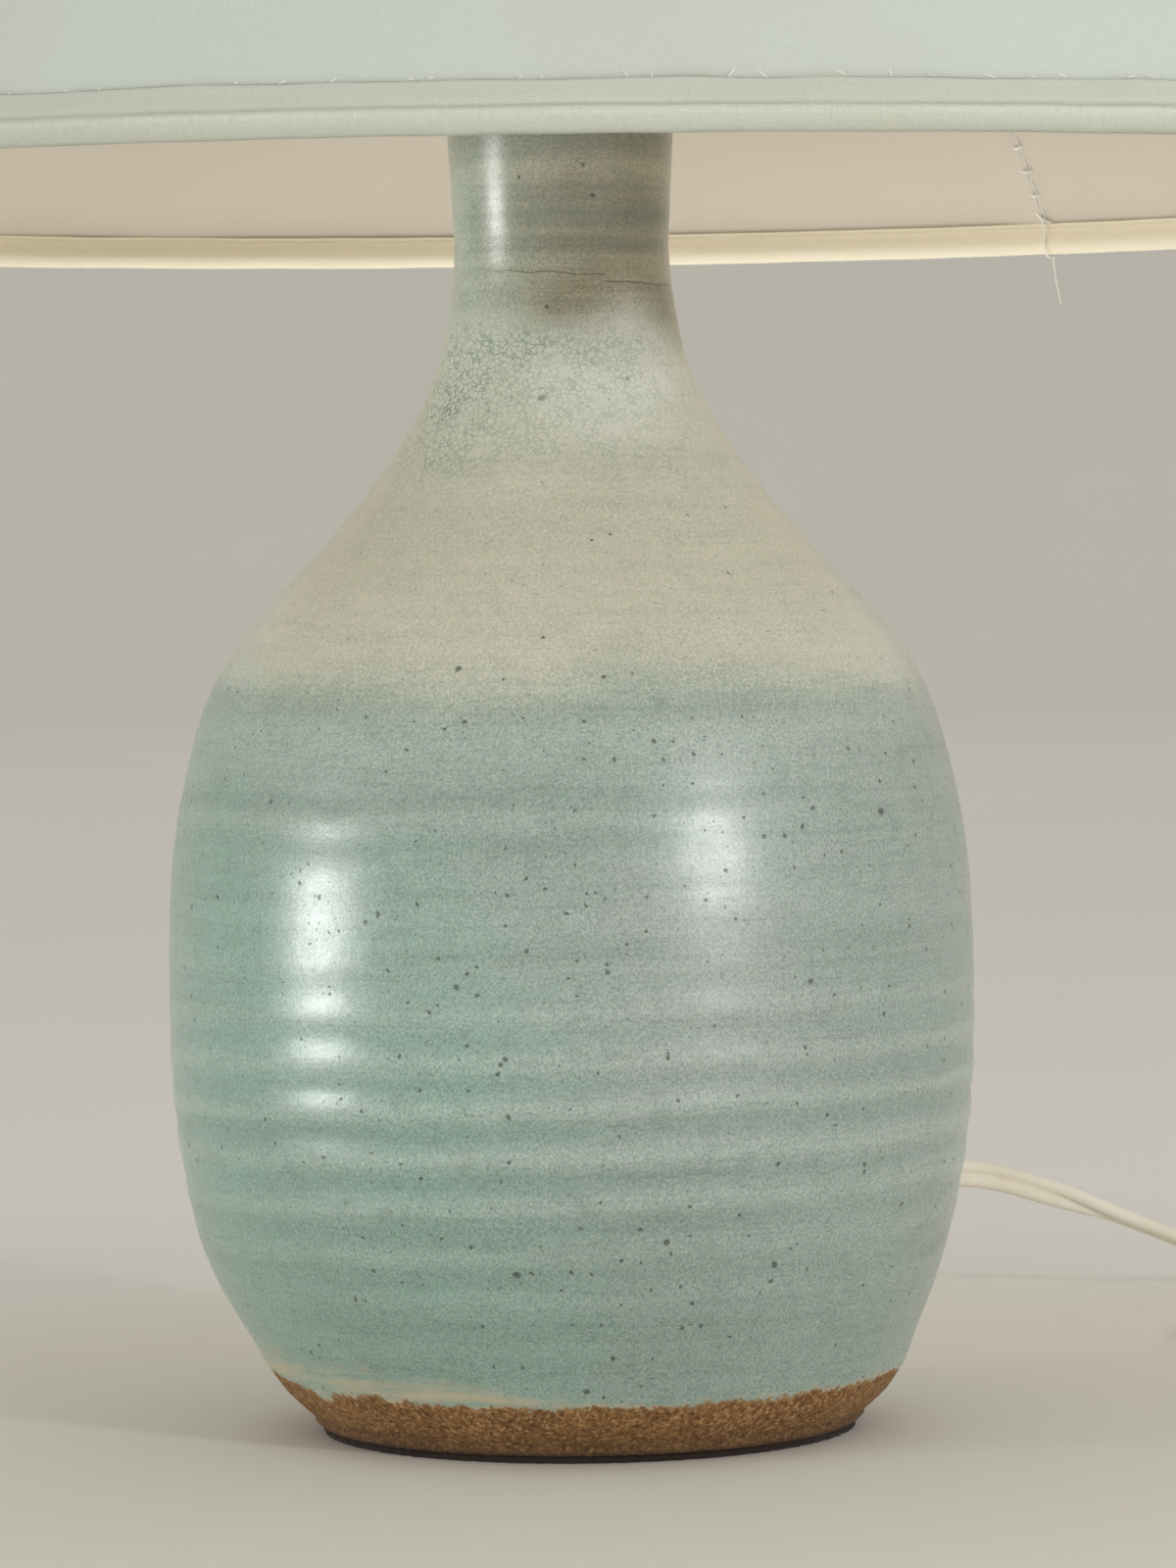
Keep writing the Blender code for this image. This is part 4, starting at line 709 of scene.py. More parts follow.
def celadon_glaze():
    """Celadon, poured over iron-bearing stoneware and fired: satin, banded and pin-holed.

    Two attributes guide it: glaze is the height over the glaze's lower edge in millimetres, and
    ring is the crest of the throwing rings.
    """
    tone = colours()
    glaze, tree, shader = new_finish("celadon_glaze", Coat_Roughness=0.35)
    spot = add(tree, "TexCoord")["Object"]
    axes = add(tree, "SeparateXYZ", {0: spot})
    above = add(tree, "Attribute", attribute_name="glaze")["Fac"]
    crest = add(tree, "Attribute", attribute_name="ring")["Fac"]
    # Slow patches of 70 mm, and bands 8 mm high with streaks of 1 mm, drawn out round the pot
    patch = add(tree, "TexNoise", {"Vector": spot, "Scale": 14.0, "Detail": 4.0})[0]
    drawn = add(tree, "Mapping", {"Vector": spot, "Scale": (5.0, 5.0, 120.0)})[0]
    bands = add(tree, "TexNoise", {"Vector": drawn, "Scale": 1.0, "Detail": 5.0, "Roughness": 0.6})[0]
    fine = add(tree, "Mapping", {"Vector": spot, "Scale": (45.0, 45.0, 800.0)})[0]
    streaks = add(tree, "TexNoise", {"Vector": fine, "Scale": 1.0, "Detail": 4.0, "Roughness": 0.7})[0]
    wander = add(tree, "Math", {0: patch, 1: 0.5}, operation="SUBTRACT")[0]
    wavy = add(tree, "Math", {0: wander, 1: 0.030, 2: axes["Z"]}, operation="MULTIPLY_ADD")[0]
    # The glaze is greener on the side where it ran thick, and in the grooves of the rings
    side = add(tree, "MapRange", {"Value": axes["X"], "From Min": -0.078, "From Max": 0.030})[0]
    mixed = add(tree, "Math", {0: wander, 1: 1.8, 2: side}, operation="MULTIPLY_ADD")[0]
    mixed = add(tree, "Math", {0: crest, 1: 0.16, 2: mixed}, operation="MULTIPLY_ADD", use_clamp=True)[0]
    body = add(tree, "Mix", {0: mixed, 6: tone.celadon, 7: tone.celadon_grey}, data_type="RGBA")[2]
    low = add(tree, "MapRange", {"Value": axes["Z"], "From Min": 0.080, "From Max": 0.020, "To Max": 0.40})[0]
    body = add(tree, "Mix", {0: low, 6: body, 7: tone.celadon}, data_type="RGBA")[2]
    # Cream shoulder, with a soft lower edge that breaks up and a softer upper one
    light = add(tree, "MapRange", {"Value": wavy, "From Min": 0.118, "From Max": 0.152, "To Max": 0.45})[0]
    body = add(tree, "Mix", {0: light, 6: body, 7: linear("#B2C1B8")}, data_type="RGBA")[2]
    rise = {"Value": wavy, "From Min": 0.1465, "From Max": 0.1630}
    start = add(tree, "MapRange", rise, interpolation_type="SMOOTHSTEP")[0]
    fall = {"Value": wavy, "From Min": 0.242, "From Max": 0.226}
    stop = add(tree, "MapRange", fall, interpolation_type="SMOOTHSTEP")[0]
    zone = add(tree, "Math", {0: start, 1: stop}, operation="MULTIPLY")[0]
    body = add(tree, "Mix", {0: zone, 6: body, 7: tone.shoulder}, data_type="RGBA")[2]
    # Neck: grey on one side, brown where the glaze is thin, darker in drawn streaks
    warm = add(tree, "MapRange", {"Value": axes["X"], "From Min": -0.020, "From Max": 0.012})[0]
    warm = add(tree, "Math", {0: wander, 1: 2.2, 2: warm}, operation="MULTIPLY_ADD", use_clamp=True)[0]
    neck = add(tree, "Mix", {0: warm, 6: tone.neck, 7: tone.neck_warm}, data_type="RGBA")[2]
    share = add(tree, "MapRange", {"Value": bands, "From Min": 0.42, "From Max": 0.62, "To Max": 0.75})[0]
    share = add(tree, "Math", {0: share, 1: warm}, operation="MULTIPLY")[0]
    neck = add(tree, "Mix", {0: share, 6: neck, 7: linear("#625A44")}, data_type="RGBA")[2]
    rise = {"Value": wavy, "From Min": 0.216, "From Max": 0.233}
    top = add(tree, "MapRange", rise, interpolation_type="SMOOTHSTEP")[0]
    body = add(tree, "Mix", {0: top, 6: body, 7: neck}, data_type="RGBA")[2]
    # Painted reflection: a near-white patch at the front of the neck's foot, where the shade's lit lining
    # shows in the glaze
    away = add(tree, "VectorMath", {0: spot, 1: (0.012, -0.021, 0.217)}, operation="DISTANCE")["Value"]
    away = add(tree, "Math", {0: wander, 1: 0.05, 2: away}, operation="MULTIPLY_ADD")[0]
    cloud = {"Value": away, "From Min": 0.024, "From Max": 0.006, "To Max": 0.9}
    cloud = add(tree, "MapRange", cloud, interpolation_type="SMOOTHSTEP")[0]
    body = add(tree, "Mix", {0: cloud, 6: body, 7: linear("#ECEDE9")}, data_type="RGBA")[2]
    # Bands and streaks; crests of the rings are thinner and paler
    calm = add(tree, "Math", {0: zone, 1: -0.6, 2: 1.0}, operation="MULTIPLY_ADD")[0]
    share = {"Value": bands, "From Min": 0.40, "From Max": 0.72, "To Max": 0.42}
    share = add(tree, "Math", {0: add(tree, "MapRange", share)[0], 1: calm}, operation="MULTIPLY")[0]
    body = add(tree, "Mix", {0: share, 6: body, 7: linear("#768B81")}, data_type="RGBA")[2]
    share = add(tree, "MapRange", {"Value": crest, "From Min": 0.1, "From Max": 0.9, "To Max": 0.40})[0]
    body = add(tree, "Mix", {0: share, 6: body, 7: linear("#B9CAC1")}, data_type="RGBA")[2]
    share = add(tree, "MapRange", {"Value": crest, "From Min": -0.1, "From Max": -0.8, "To Max": 0.32})[0]
    body = add(tree, "Mix", {0: share, 6: body, 7: linear("#77928A")}, data_type="RGBA")[2]
    share = {"Value": streaks, "From Min": 0.50, "From Max": 0.72, "To Max": 0.30}
    share = add(tree, "Math", {0: add(tree, "MapRange", share)[0], 1: calm}, operation="MULTIPLY")[0]
    body = add(tree, "Mix", {0: share, 6: body, 7: linear("#6E8177")}, data_type="RGBA")[2]
    # Grain of the melt: pale and dark, green and pinkish, half a millimetre, with 5 mm blotches
    grain = add(tree, "TexNoise", {"Vector": spot, "Scale": 1900.0, "Detail": 4.0, "Roughness": 0.8})
    tint = add(tree, "Mix", {0: 0.25, 6: grain["Fac"], 7: grain["Color"]}, data_type="RGBA")[2]
    tint = add(tree, "BrightContrast", {"Color": tint, "Contrast": 2.1, "Bright": -0.02})[0]
    body = add(tree, "Mix", {0: 0.42, 6: body, 7: tint}, data_type="RGBA", blend_type="OVERLAY")[2]
    blotch = add(tree, "TexNoise", {"Vector": spot, "Scale": 210.0, "Detail": 4.0, "Roughness": 0.7})[0]
    share = {"Value": blotch, "From Min": 0.50, "From Max": 0.72, "To Max": 0.34}
    share = add(tree, "Math", {0: add(tree, "MapRange", share)[0], 1: calm}, operation="MULTIPLY")[0]
    body = add(tree, "Mix", {0: share, 6: body, 7: linear("#6F8479")}, data_type="RGBA")[2]
    pits = pinholes(tree, spot, blotch, top, zone)
    share = add(tree, "Math", {0: pits, 1: 0.82}, operation="MULTIPLY")[0]
    body = add(tree, "Mix", {0: share, 6: body, 7: linear("#3D453B")}, data_type="RGBA")[2]
    body, net = crackled(tree, body, spot, axes, wavy, patch, blotch)
    body = hairline(tree, body, spot, axes)
    # The glaze ends over the clay in teeth of 3 mm
    ragged = add(tree, "TexNoise", {"Vector": spot, "Scale": 330.0, "Detail": 6.0, "Roughness": 0.75})[0]
    ragged = add(tree, "Math", {0: ragged, 1: 0.5}, operation="SUBTRACT")[0]
    above = add(tree, "Math", {0: ragged, 1: 6.5, 2: above}, operation="MULTIPLY_ADD")[0]
    glazed = add(tree, "MapRange", {"Value": above, "From Min": -0.12, "From Max": 0.12})[0]
    clay, grog = toasted_clay(tree, spot, axes, above)
    # Over the edge the glaze is thin and dry: a wide cream band on one side, a narrow one elsewhere
    wide = {"Value": axes["X"], "From Min": 0.010, "From Max": -0.045, "To Min": 1.4, "To Max": 7.5}
    wide = add(tree, "MapRange", wide)[0]
    reach = add(tree, "Math", {0: above, 1: wide}, operation="DIVIDE")[0]
    reach = add(tree, "Math", {0: wander, 1: 1.6, 2: reach}, operation="MULTIPLY_ADD")[0]
    thin = add(tree, "MapRange", {"Value": reach, "From Min": 1.0, "From Max": 0.1})[0]
    torn = add(tree, "MapRange", {"Value": streaks, "From Min": 0.40, "From Max": 0.56, "To Min": 0.10})[0]
    thin = add(tree, "Math", {0: thin, 1: torn}, operation="MULTIPLY")[0]
    body = add(tree, "Mix", {0: thin, 6: body, 7: linear("#C3B89C")}, data_type="RGBA")[2]
    colour = add(tree, "Mix", {0: glazed, 6: clay, 7: body}, data_type="RGBA")[2]
    tree.links.new(colour, shader.inputs["Base Color"])
    # Satin glaze, matt clay and matt pits
    gloss = add(tree, "MapRange", {"Value": blotch, "To Min": 0.17, "To Max": 0.33})[0]
    gloss = add(tree, "Math", {0: pits, 1: 0.3, 2: gloss}, operation="MULTIPLY_ADD")[0]
    gloss = add(tree, "Math", {0: thin, 1: 0.25, 2: gloss}, operation="MULTIPLY_ADD")[0]
    rough = add(tree, "Mix", {0: glazed, 2: 0.92, 3: gloss})[0]
    tree.links.new(rough, shader.inputs["Roughness"])
    coat = add(tree, "Math", {0: glazed, 1: 0.7}, operation="MULTIPLY")[0]
    tree.links.new(coat, shader.inputs["Coat Weight"])
    relief = add(tree, "Math", {0: grain["Fac"], 1: 0.35, 2: blotch}, operation="MULTIPLY_ADD")[0]
    relief = add(tree, "Math", {0: pits, 1: -0.8, 2: relief}, operation="MULTIPLY_ADD")[0]
    relief = add(tree, "Math", {0: net, 1: -0.4, 2: relief}, operation="MULTIPLY_ADD")[0]
    relief = add(tree, "Mix", {0: glazed, 2: grog, 3: relief})[0]
    bump = add(tree, "Bump", {"Height": relief, "Distance": 0.0003, "Strength": 0.32})[0]
    tree.links.new(bump, shader.inputs["Normal"])
    return glaze


def wool_felt():
    """Needled wool felt, cut from sheet: matt, with fibres of 1 to 3 mm in every direction."""
    felt, tree, shader = new_finish("wool_felt", Roughness=0.95, Sheen_Weight=0.08, Sheen_Roughness=0.5)
    spot = add(tree, "TexCoord")["Object"]
    drawn = add(tree, "Mapping", {"Vector": spot, "Scale": (1.0, 0.35, 1.0)})[0]
    fibre = add(tree, "TexNoise", {"Vector": drawn, "Scale": 900.0, "Detail": 6.0, "Roughness": 0.8})[0]
    colour = add(
        tree, "Mix", {0: fibre, 6: linear("#1A120C"), 7: linear("#33241A")}, data_type="RGBA"
    )[2]
    tree.links.new(colour, shader.inputs["Base Color"])
    bump = add(tree, "Bump", {"Height": fibre, "Distance": 0.0003})[0]
    tree.links.new(bump, shader.inputs["Normal"])
    return felt


def woven_cloth(name, tint, spacing, relief, contrast, bands=()):
    """Plain weave of slubby cotton: warp and weft cross at each thread spacing of the flat cloth.

    Real threads lie about 0.4 mm apart; the spacing is coarser, so that they show in a render.
    Each band has a place, half width and softness across the cloth, a colour and its cover.
    """
    cloth, tree, shader = new_finish(name, Roughness=0.86, Sheen_Weight=0.12, Sheen_Roughness=0.4)
    flat = add(tree, "UVMap", uv_map="Flat")[0]
    thread = TAU / spacing
    # Slubs make some threads thicker and paler for a few centimetres
    along = add(tree, "Mapping", {"Vector": flat, "Scale": (22.0, 1 / spacing, 1.0)})[0]
    across = add(tree, "Mapping", {"Vector": flat, "Scale": (1 / spacing, 22.0, 1.0)})[0]
    weft = add(tree, "TexNoise", {"Vector": along, "Scale": 1.0, "Detail": 2.0}, noise_dimensions="2D")[0]
    warp = add(tree, "TexNoise", {"Vector": across, "Scale": 1.0, "Detail": 2.0}, noise_dimensions="2D")[0]
    axes = add(tree, "SeparateXYZ", {0: flat})
    u = add(tree, "Math", {0: axes["X"], 1: thread}, operation="MULTIPLY")[0]
    v = add(tree, "Math", {0: axes["Y"], 1: thread}, operation="MULTIPLY")[0]
    u = add(tree, "Math", {0: u}, operation="SINE")[0]
    v = add(tree, "Math", {0: v}, operation="SINE")[0]
    weave = add(tree, "Math", {0: u, 1: v}, operation="MULTIPLY")[0]
    slub = add(tree, "Math", {0: weft, 1: warp}, operation="ADD")[0]
    slub = add(tree, "MapRange", {"Value": slub, "From Min": 0.7, "From Max": 1.35})[0]
    share = add(tree, "Math", {0: slub, 1: 0.55 * contrast}, operation="MULTIPLY")[0]
    darker = tuple(c * 0.78 for c in tint[:3]) + (1.0,)
    colour = add(tree, "Mix", {0: share, 6: tint, 7: darker}, data_type="RGBA")[2]
    share = {"Value": weave, "From Min": -1.0, "From Max": 1.0, "To Max": 0.3 * contrast}
    share = add(tree, "MapRange", share)[0]
    colour = add(tree, "Mix", {0: share, 6: colour, 7: darker}, data_type="RGBA")[2]
    aged = add(tree, "TexNoise", {"Vector": flat, "Scale": 11.0, "Detail": 5.0})[0]
    share = add(tree, "MapRange", {"Value": aged, "From Min": 0.46, "From Max": 0.72, "To Max": 0.35})[0]
    colour = add(tree, "Mix", {0: share, 6: colour, 7: linear("#BDB8A2")}, data_type="RGBA")[2]
    # Nap: fibres of 1 mm that blur the weave; dirt comes in patches of 90 mm, and the narrow bands break in
    # patches of 20 mm
    nap = add(tree, "TexNoise", {"Vector": flat, "Scale": 900.0, "Detail": 4.0, "Roughness": 0.8})[0]
    share = {"Value": nap, "From Min": 0.52, "From Max": 0.72, "To Max": 0.5 * contrast}
    share = add(tree, "MapRange", share)[0]
    colour = add(tree, "Mix", {0: share, 6: colour, 7: darker}, data_type="RGBA")[2]
    band_breaks = add(tree, "TexNoise", {"Vector": flat, "Scale": 45.0, "Detail": 5.0, "Roughness": 0.7})[0]
    band_breaks = add(tree, "MapRange", {"Value": band_breaks, "From Min": 0.40, "From Max": 0.58, "To Min": 0.45})[0]
    for place, half, soft, code, cover in bands:
        away = add(tree, "Math", {0: axes["Y"], 1: place + soft * 1.5}, operation="SUBTRACT")[0]
        away = add(tree, "Math", {0: nap, 1: soft * 3, 2: away}, operation="MULTIPLY_ADD")[0]
        away = add(tree, "Math", {0: away}, operation="ABSOLUTE")[0]
        near = {"Value": away, "From Min": half + soft, "From Max": half - soft, "To Max": cover}
        share = add(tree, "MapRange", near)[0]
        if half < THIN_BAND:
            share = add(tree, "Math", {0: share, 1: band_breaks}, operation="MULTIPLY")[0]
        colour = add(tree, "Mix", {0: share, 6: colour, 7: linear(code)}, data_type="RGBA")[2]
    tree.links.new(colour, shader.inputs["Base Color"])
    height = add(tree, "Math", {0: slub, 1: 1.2, 2: weave}, operation="MULTIPLY_ADD")[0]
    height = add(tree, "Math", {0: nap, 1: 1.5, 2: height}, operation="MULTIPLY_ADD")[0]
    bump = add(tree, "Bump", {"Height": height, "Distance": relief, "Strength": 0.6})[0]
    tree.links.new(bump, shader.inputs["Normal"])
    return cloth


def styrene_lining():
    """Styrene sheet behind the cloth: smooth, cream with age, with a skin grained at 1.4 mm."""
    lining, tree, shader = new_finish("styrene_lining", Specular_IOR_Level=0.4)
    spot = add(tree, "TexCoord")["Object"]
    aged = add(tree, "TexNoise", {"Vector": spot, "Scale": 7.0, "Detail": 5.0})[0]
    share = add(tree, "MapRange", {"Value": aged, "From Min": 0.35, "From Max": 0.75})[0]
    colour = add(
        tree, "Mix", {0: share, 6: colours().lining, 7: linear("#D5CCBB")}, data_type="RGBA"
    )[2]
    tree.links.new(colour, shader.inputs["Base Color"])
    fine = add(tree, "TexNoise", {"Vector": spot, "Scale": 700.0, "Detail": 2.0})[0]
    rough = add(tree, "MapRange", {"Value": aged, "To Min": 0.46, "To Max": 0.62})[0]
    tree.links.new(rough, shader.inputs["Roughness"])
    bump = add(tree, "Bump", {"Height": fine, "Distance": 0.00006, "Strength": 0.5})[0]
    tree.links.new(bump, shader.inputs["Normal"])
    return lining


def ivory_vinyl(name, relief):
    """Extruded or moulded PVC, ivory with age: soft sheen, fine orange peel, dust in the hollows.

    It yellows in patches of 40 mm, and the orange peel has a grain of 0.6 mm.
    """
    vinyl, tree, shader = new_finish(name, Specular_IOR_Level=0.45)
    spot = add(tree, "TexCoord")["Object"]
    aged = add(tree, "TexNoise", {"Vector": spot, "Scale": 24.0, "Detail": 4.0})[0]
    share = add(tree, "MapRange", {"Value": aged, "From Min": 0.4, "From Max": 0.75, "To Max": 0.6})[0]
    colour = add(
        tree, "Mix", {0: share, 6: colours().vinyl, 7: linear("#DCD2BA")}, data_type="RGBA"
    )[2]
    fine = add(tree, "TexNoise", {"Vector": spot, "Scale": 1600.0, "Detail": 3.0})[0]
    share = add(tree, "MapRange", {"Value": fine, "From Min": 0.62, "From Max": 0.78, "To Max": 0.3})[0]
    colour = add(tree, "Mix", {0: share, 6: colour, 7: linear("#A89C80")}, data_type="RGBA")[2]
    tree.links.new(colour, shader.inputs["Base Color"])
    rough = add(tree, "MapRange", {"Value": aged, "To Min": 0.34, "To Max": 0.52})[0]
    tree.links.new(rough, shader.inputs["Roughness"])
    bump = add(tree, "Bump", {"Height": fine, "Distance": relief, "Strength": 0.35})[0]
    tree.links.new(bump, shader.inputs["Normal"])
    return vinyl


def turned_metal(name, tint, dull, rough, mark_spacing):
    """Metal turned or spun on a lathe and dulled with age: fine rings, and cloudy tarnish of 14 mm.

    Real tool marks lie about 0.1 mm apart; mark_spacing is coarser, so that they show.
    """
    metal, tree, shader = new_finish(name, Metallic=1.0)
    spot = add(tree, "TexCoord")["Object"]
    cloud = add(tree, "TexNoise", {"Vector": spot, "Scale": 70.0, "Detail": 5.0, "Roughness": 0.6})[0]
    share = add(tree, "MapRange", {"Value": cloud, "From Min": 0.38, "From Max": 0.72})[0]
    colour = add(tree, "Mix", {0: share, 6: tint, 7: dull}, data_type="RGBA")[2]
    tree.links.new(colour, shader.inputs["Base Color"])
    drawn = add(tree, "Mapping", {"Vector": spot, "Scale": (30.0, 30.0, 1 / mark_spacing)})[0]
    marks = add(tree, "TexNoise", {"Vector": drawn, "Scale": 1.0, "Detail": 2.0})[0]
    gloss = add(tree, "MapRange", {"Value": cloud, "To Min": rough * 0.8, "To Max": rough * 1.5})[0]
    gloss = add(tree, "Math", {0: marks, 1: 0.10, 2: gloss}, operation="MULTIPLY_ADD")[0]
    tree.links.new(gloss, shader.inputs["Roughness"])
    bump = add(tree, "Bump", {"Height": marks, "Distance": 0.00003, "Strength": 0.5})[0]
    tree.links.new(bump, shader.inputs["Normal"])
    return metal


def moulded_plastic(name, light, dark, rough):
    """Pressed resin, rubber or fibre: close colours mottled by the filler at 4 mm, and a fine skin."""
    plastic, tree, shader = new_finish(name)
    spot = add(tree, "TexCoord")["Object"]
    filler = add(tree, "TexNoise", {"Vector": spot, "Scale": 260.0, "Detail": 6.0, "Roughness": 0.75})[0]
    share = add(tree, "MapRange", {"Value": filler, "From Min": 0.35, "From Max": 0.7})[0]
    colour = add(tree, "Mix", {0: share, 6: light, 7: dark}, data_type="RGBA")[2]
    tree.links.new(colour, shader.inputs["Base Color"])
    gloss = add(tree, "MapRange", {"Value": filler, "To Min": rough * 0.8, "To Max": rough * 1.25})[0]
    tree.links.new(gloss, shader.inputs["Roughness"])
    bump = add(tree, "Bump", {"Height": filler, "Distance": 0.00005, "Strength": 0.4})[0]
    tree.links.new(bump, shader.inputs["Normal"])
    return plastic


def opal_glass():
    """Blown glass with a silica coat inside: white, glossy outside, uneven in clouds of 26 mm."""
    glass, tree, shader = new_finish("opal_glass", Coat_Weight=0.5, Coat_Roughness=0.05)
    spot = add(tree, "TexCoord")["Object"]
    coat = add(tree, "TexNoise", {"Vector": spot, "Scale": 38.0, "Detail": 4.0})[0]
    share = add(tree, "MapRange", {"Value": coat, "From Min": 0.35, "From Max": 0.75})[0]
    colour = add(
        tree, "Mix", {0: share, 6: linear("#ECEAE3"), 7: linear("#DEDBD0")}, data_type="RGBA"
    )[2]
    tree.links.new(colour, shader.inputs["Base Color"])
    rough = add(tree, "MapRange", {"Value": coat, "To Min": 0.12, "To Max": 0.24})[0]
    tree.links.new(rough, shader.inputs["Roughness"])
    return glass


def once(maker, name, *values):
    """The material of this name, made the first time that a piece asks for it."""
    return bpy.data.materials.get(name) or maker(name, *values)


def brass():
    """Yellow brass under lacquer, as on lamp fittings: warm, glossy, a little tarnished."""
    return once(turned_metal, "lacquered_brass", colours().brass, linear("#A9854A"), 0.26, 0.0004)


def steel():
    """Steel wire and nuts with a zinc plating: cool grey, duller than brass."""
    return once(turned_metal, "zinc_plated_steel", linear("#B9BBBB"), linear("#8C8D8A"), 0.36, 0.0004)


def aluminium():
    """Thin aluminium rolled into a screw thread: pale and soft in its gloss."""
    return once(turned_metal, "rolled_aluminium", linear("#D2D2CE"), linear("#ACABA6"), 0.30, 0.0005)


def phenolic():
    """Pressed phenolic resin: black-brown, with a hard gloss from its mould."""
    return once(moulded_plastic, "black_phenolic", linear("#1D1917"), linear("#0F0D0C"), 0.26)


def body_knots():
    """Radius and height of the body's knots from foot to lip, over the table."""
    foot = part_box("ceramic_body")[0].z
    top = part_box("ceramic_body")[1].z
    knots = [(FOOT_RADIUS, foot + FOOT_CHAMFER)]
    for up, out in LOWER_SHARES:
        knots.append((FOOT_RADIUS + out * (BELLY_RADIUS - FOOT_RADIUS), foot + up * BELLY_HEIGHT))
    for up, out in UPPER_SHARES:
        height = foot + BELLY_HEIGHT + up * (NECK_HEIGHT - BELLY_HEIGHT)
        knots.append((NECK_RADIUS + out * (BELLY_RADIUS - NECK_RADIUS), height))
    knots.append((NECK_RADIUS, foot + NECK_HEIGHT))
    knots.append((LIP_RADIUS, top - LIP_ROUND))
    return knots


def body_radius_at(height):
    """Radius of the body's curve at a height over the table."""
    line = smooth_line(body_knots(), 12)
    return float(np.interp(height, line[:, 1], line[:, 0]))


def glaze_edge(angle):
    """Height of the glaze's ragged lower edge: slow dips, short teeth and one run."""
    slow = waves(angle, 0, seed=11, count=5, low=1, high=5, tall=1.0) * EDGE_DIPS
    teeth = waves(angle, 0, seed=12, count=9, low=14, high=60, tall=1.0) * EDGE_TEETH
    run = np.exp(-(((angle % TAU) / RUN_BEARING - 1) / RUN_WIDTH) ** 2) * RUN_LENGTH
    return sizes().glaze_line + slow + teeth - run


def ring_wave(angle, height):
    """Throwing rings: one crest climbs like a screw, and fades in and out; about -1 to 1."""
    size = sizes()
    wobble = 0.5 * waves(angle, height, seed=3, count=6, low=0, high=2, tall=0.06)
    crest = np.sin(TAU * height / size.ring_pitch - angle + RING_TURN + wobble)
    low = np.exp(-(((height - LOW_RINGS[0]) / LOW_RINGS[1]) ** 2))
    high = 0.7 * np.exp(-(((height - HIGH_RINGS[0]) / HIGH_RINGS[1]) ** 2))
    high = high * (0.5 - 0.5 * np.cos(angle - HIGH_RINGS_BEARING)) ** 4
    uneven = 0.85 + 0.3 * waves(angle, height, seed=4, count=6, low=0, high=3, tall=0.05)
    return crest * (low + high + 0.12) * uneven


def foot_shift(height):
    """The foot was trimmed off centre: how far it lies towards +X at a height."""
    return sizes().foot_offset * (1 - ease(height, 0.004, 0.042))


def body_swell(angle, radius, height):
    """Added to the outer radius: rings, tool marks, a ledge on the neck, a lean, and the glaze."""
    size = sizes()
    rings = ring_wave(angle, height) * size.ring_depth
    fine = waves(angle, height, seed=5, count=10, low=0, high=2, tall=0.0035) * RIB_LINES
    lean = waves(angle, height, seed=6, count=4, low=1, high=3, tall=0.25) * BODY_LEAN
    away = (height - glaze_edge(angle)) / EDGE_ROUND
    cover = 1 / (1 + np.exp(-np.clip(away, -30, 30)))
    roll = np.exp(-((away - 1.2) ** 2) / 2.5) * EDGE_ROLL
    ledge = ease(height, *LEDGE_RISE) * LEDGE_DEPTH
    top = np.clip((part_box("ceramic_body")[1].z - 0.004 - height) / 0.006, 0, 1)
    return (rings + fine + lean + ledge) * top + (cover - 1) * size.glaze_thickness + roll


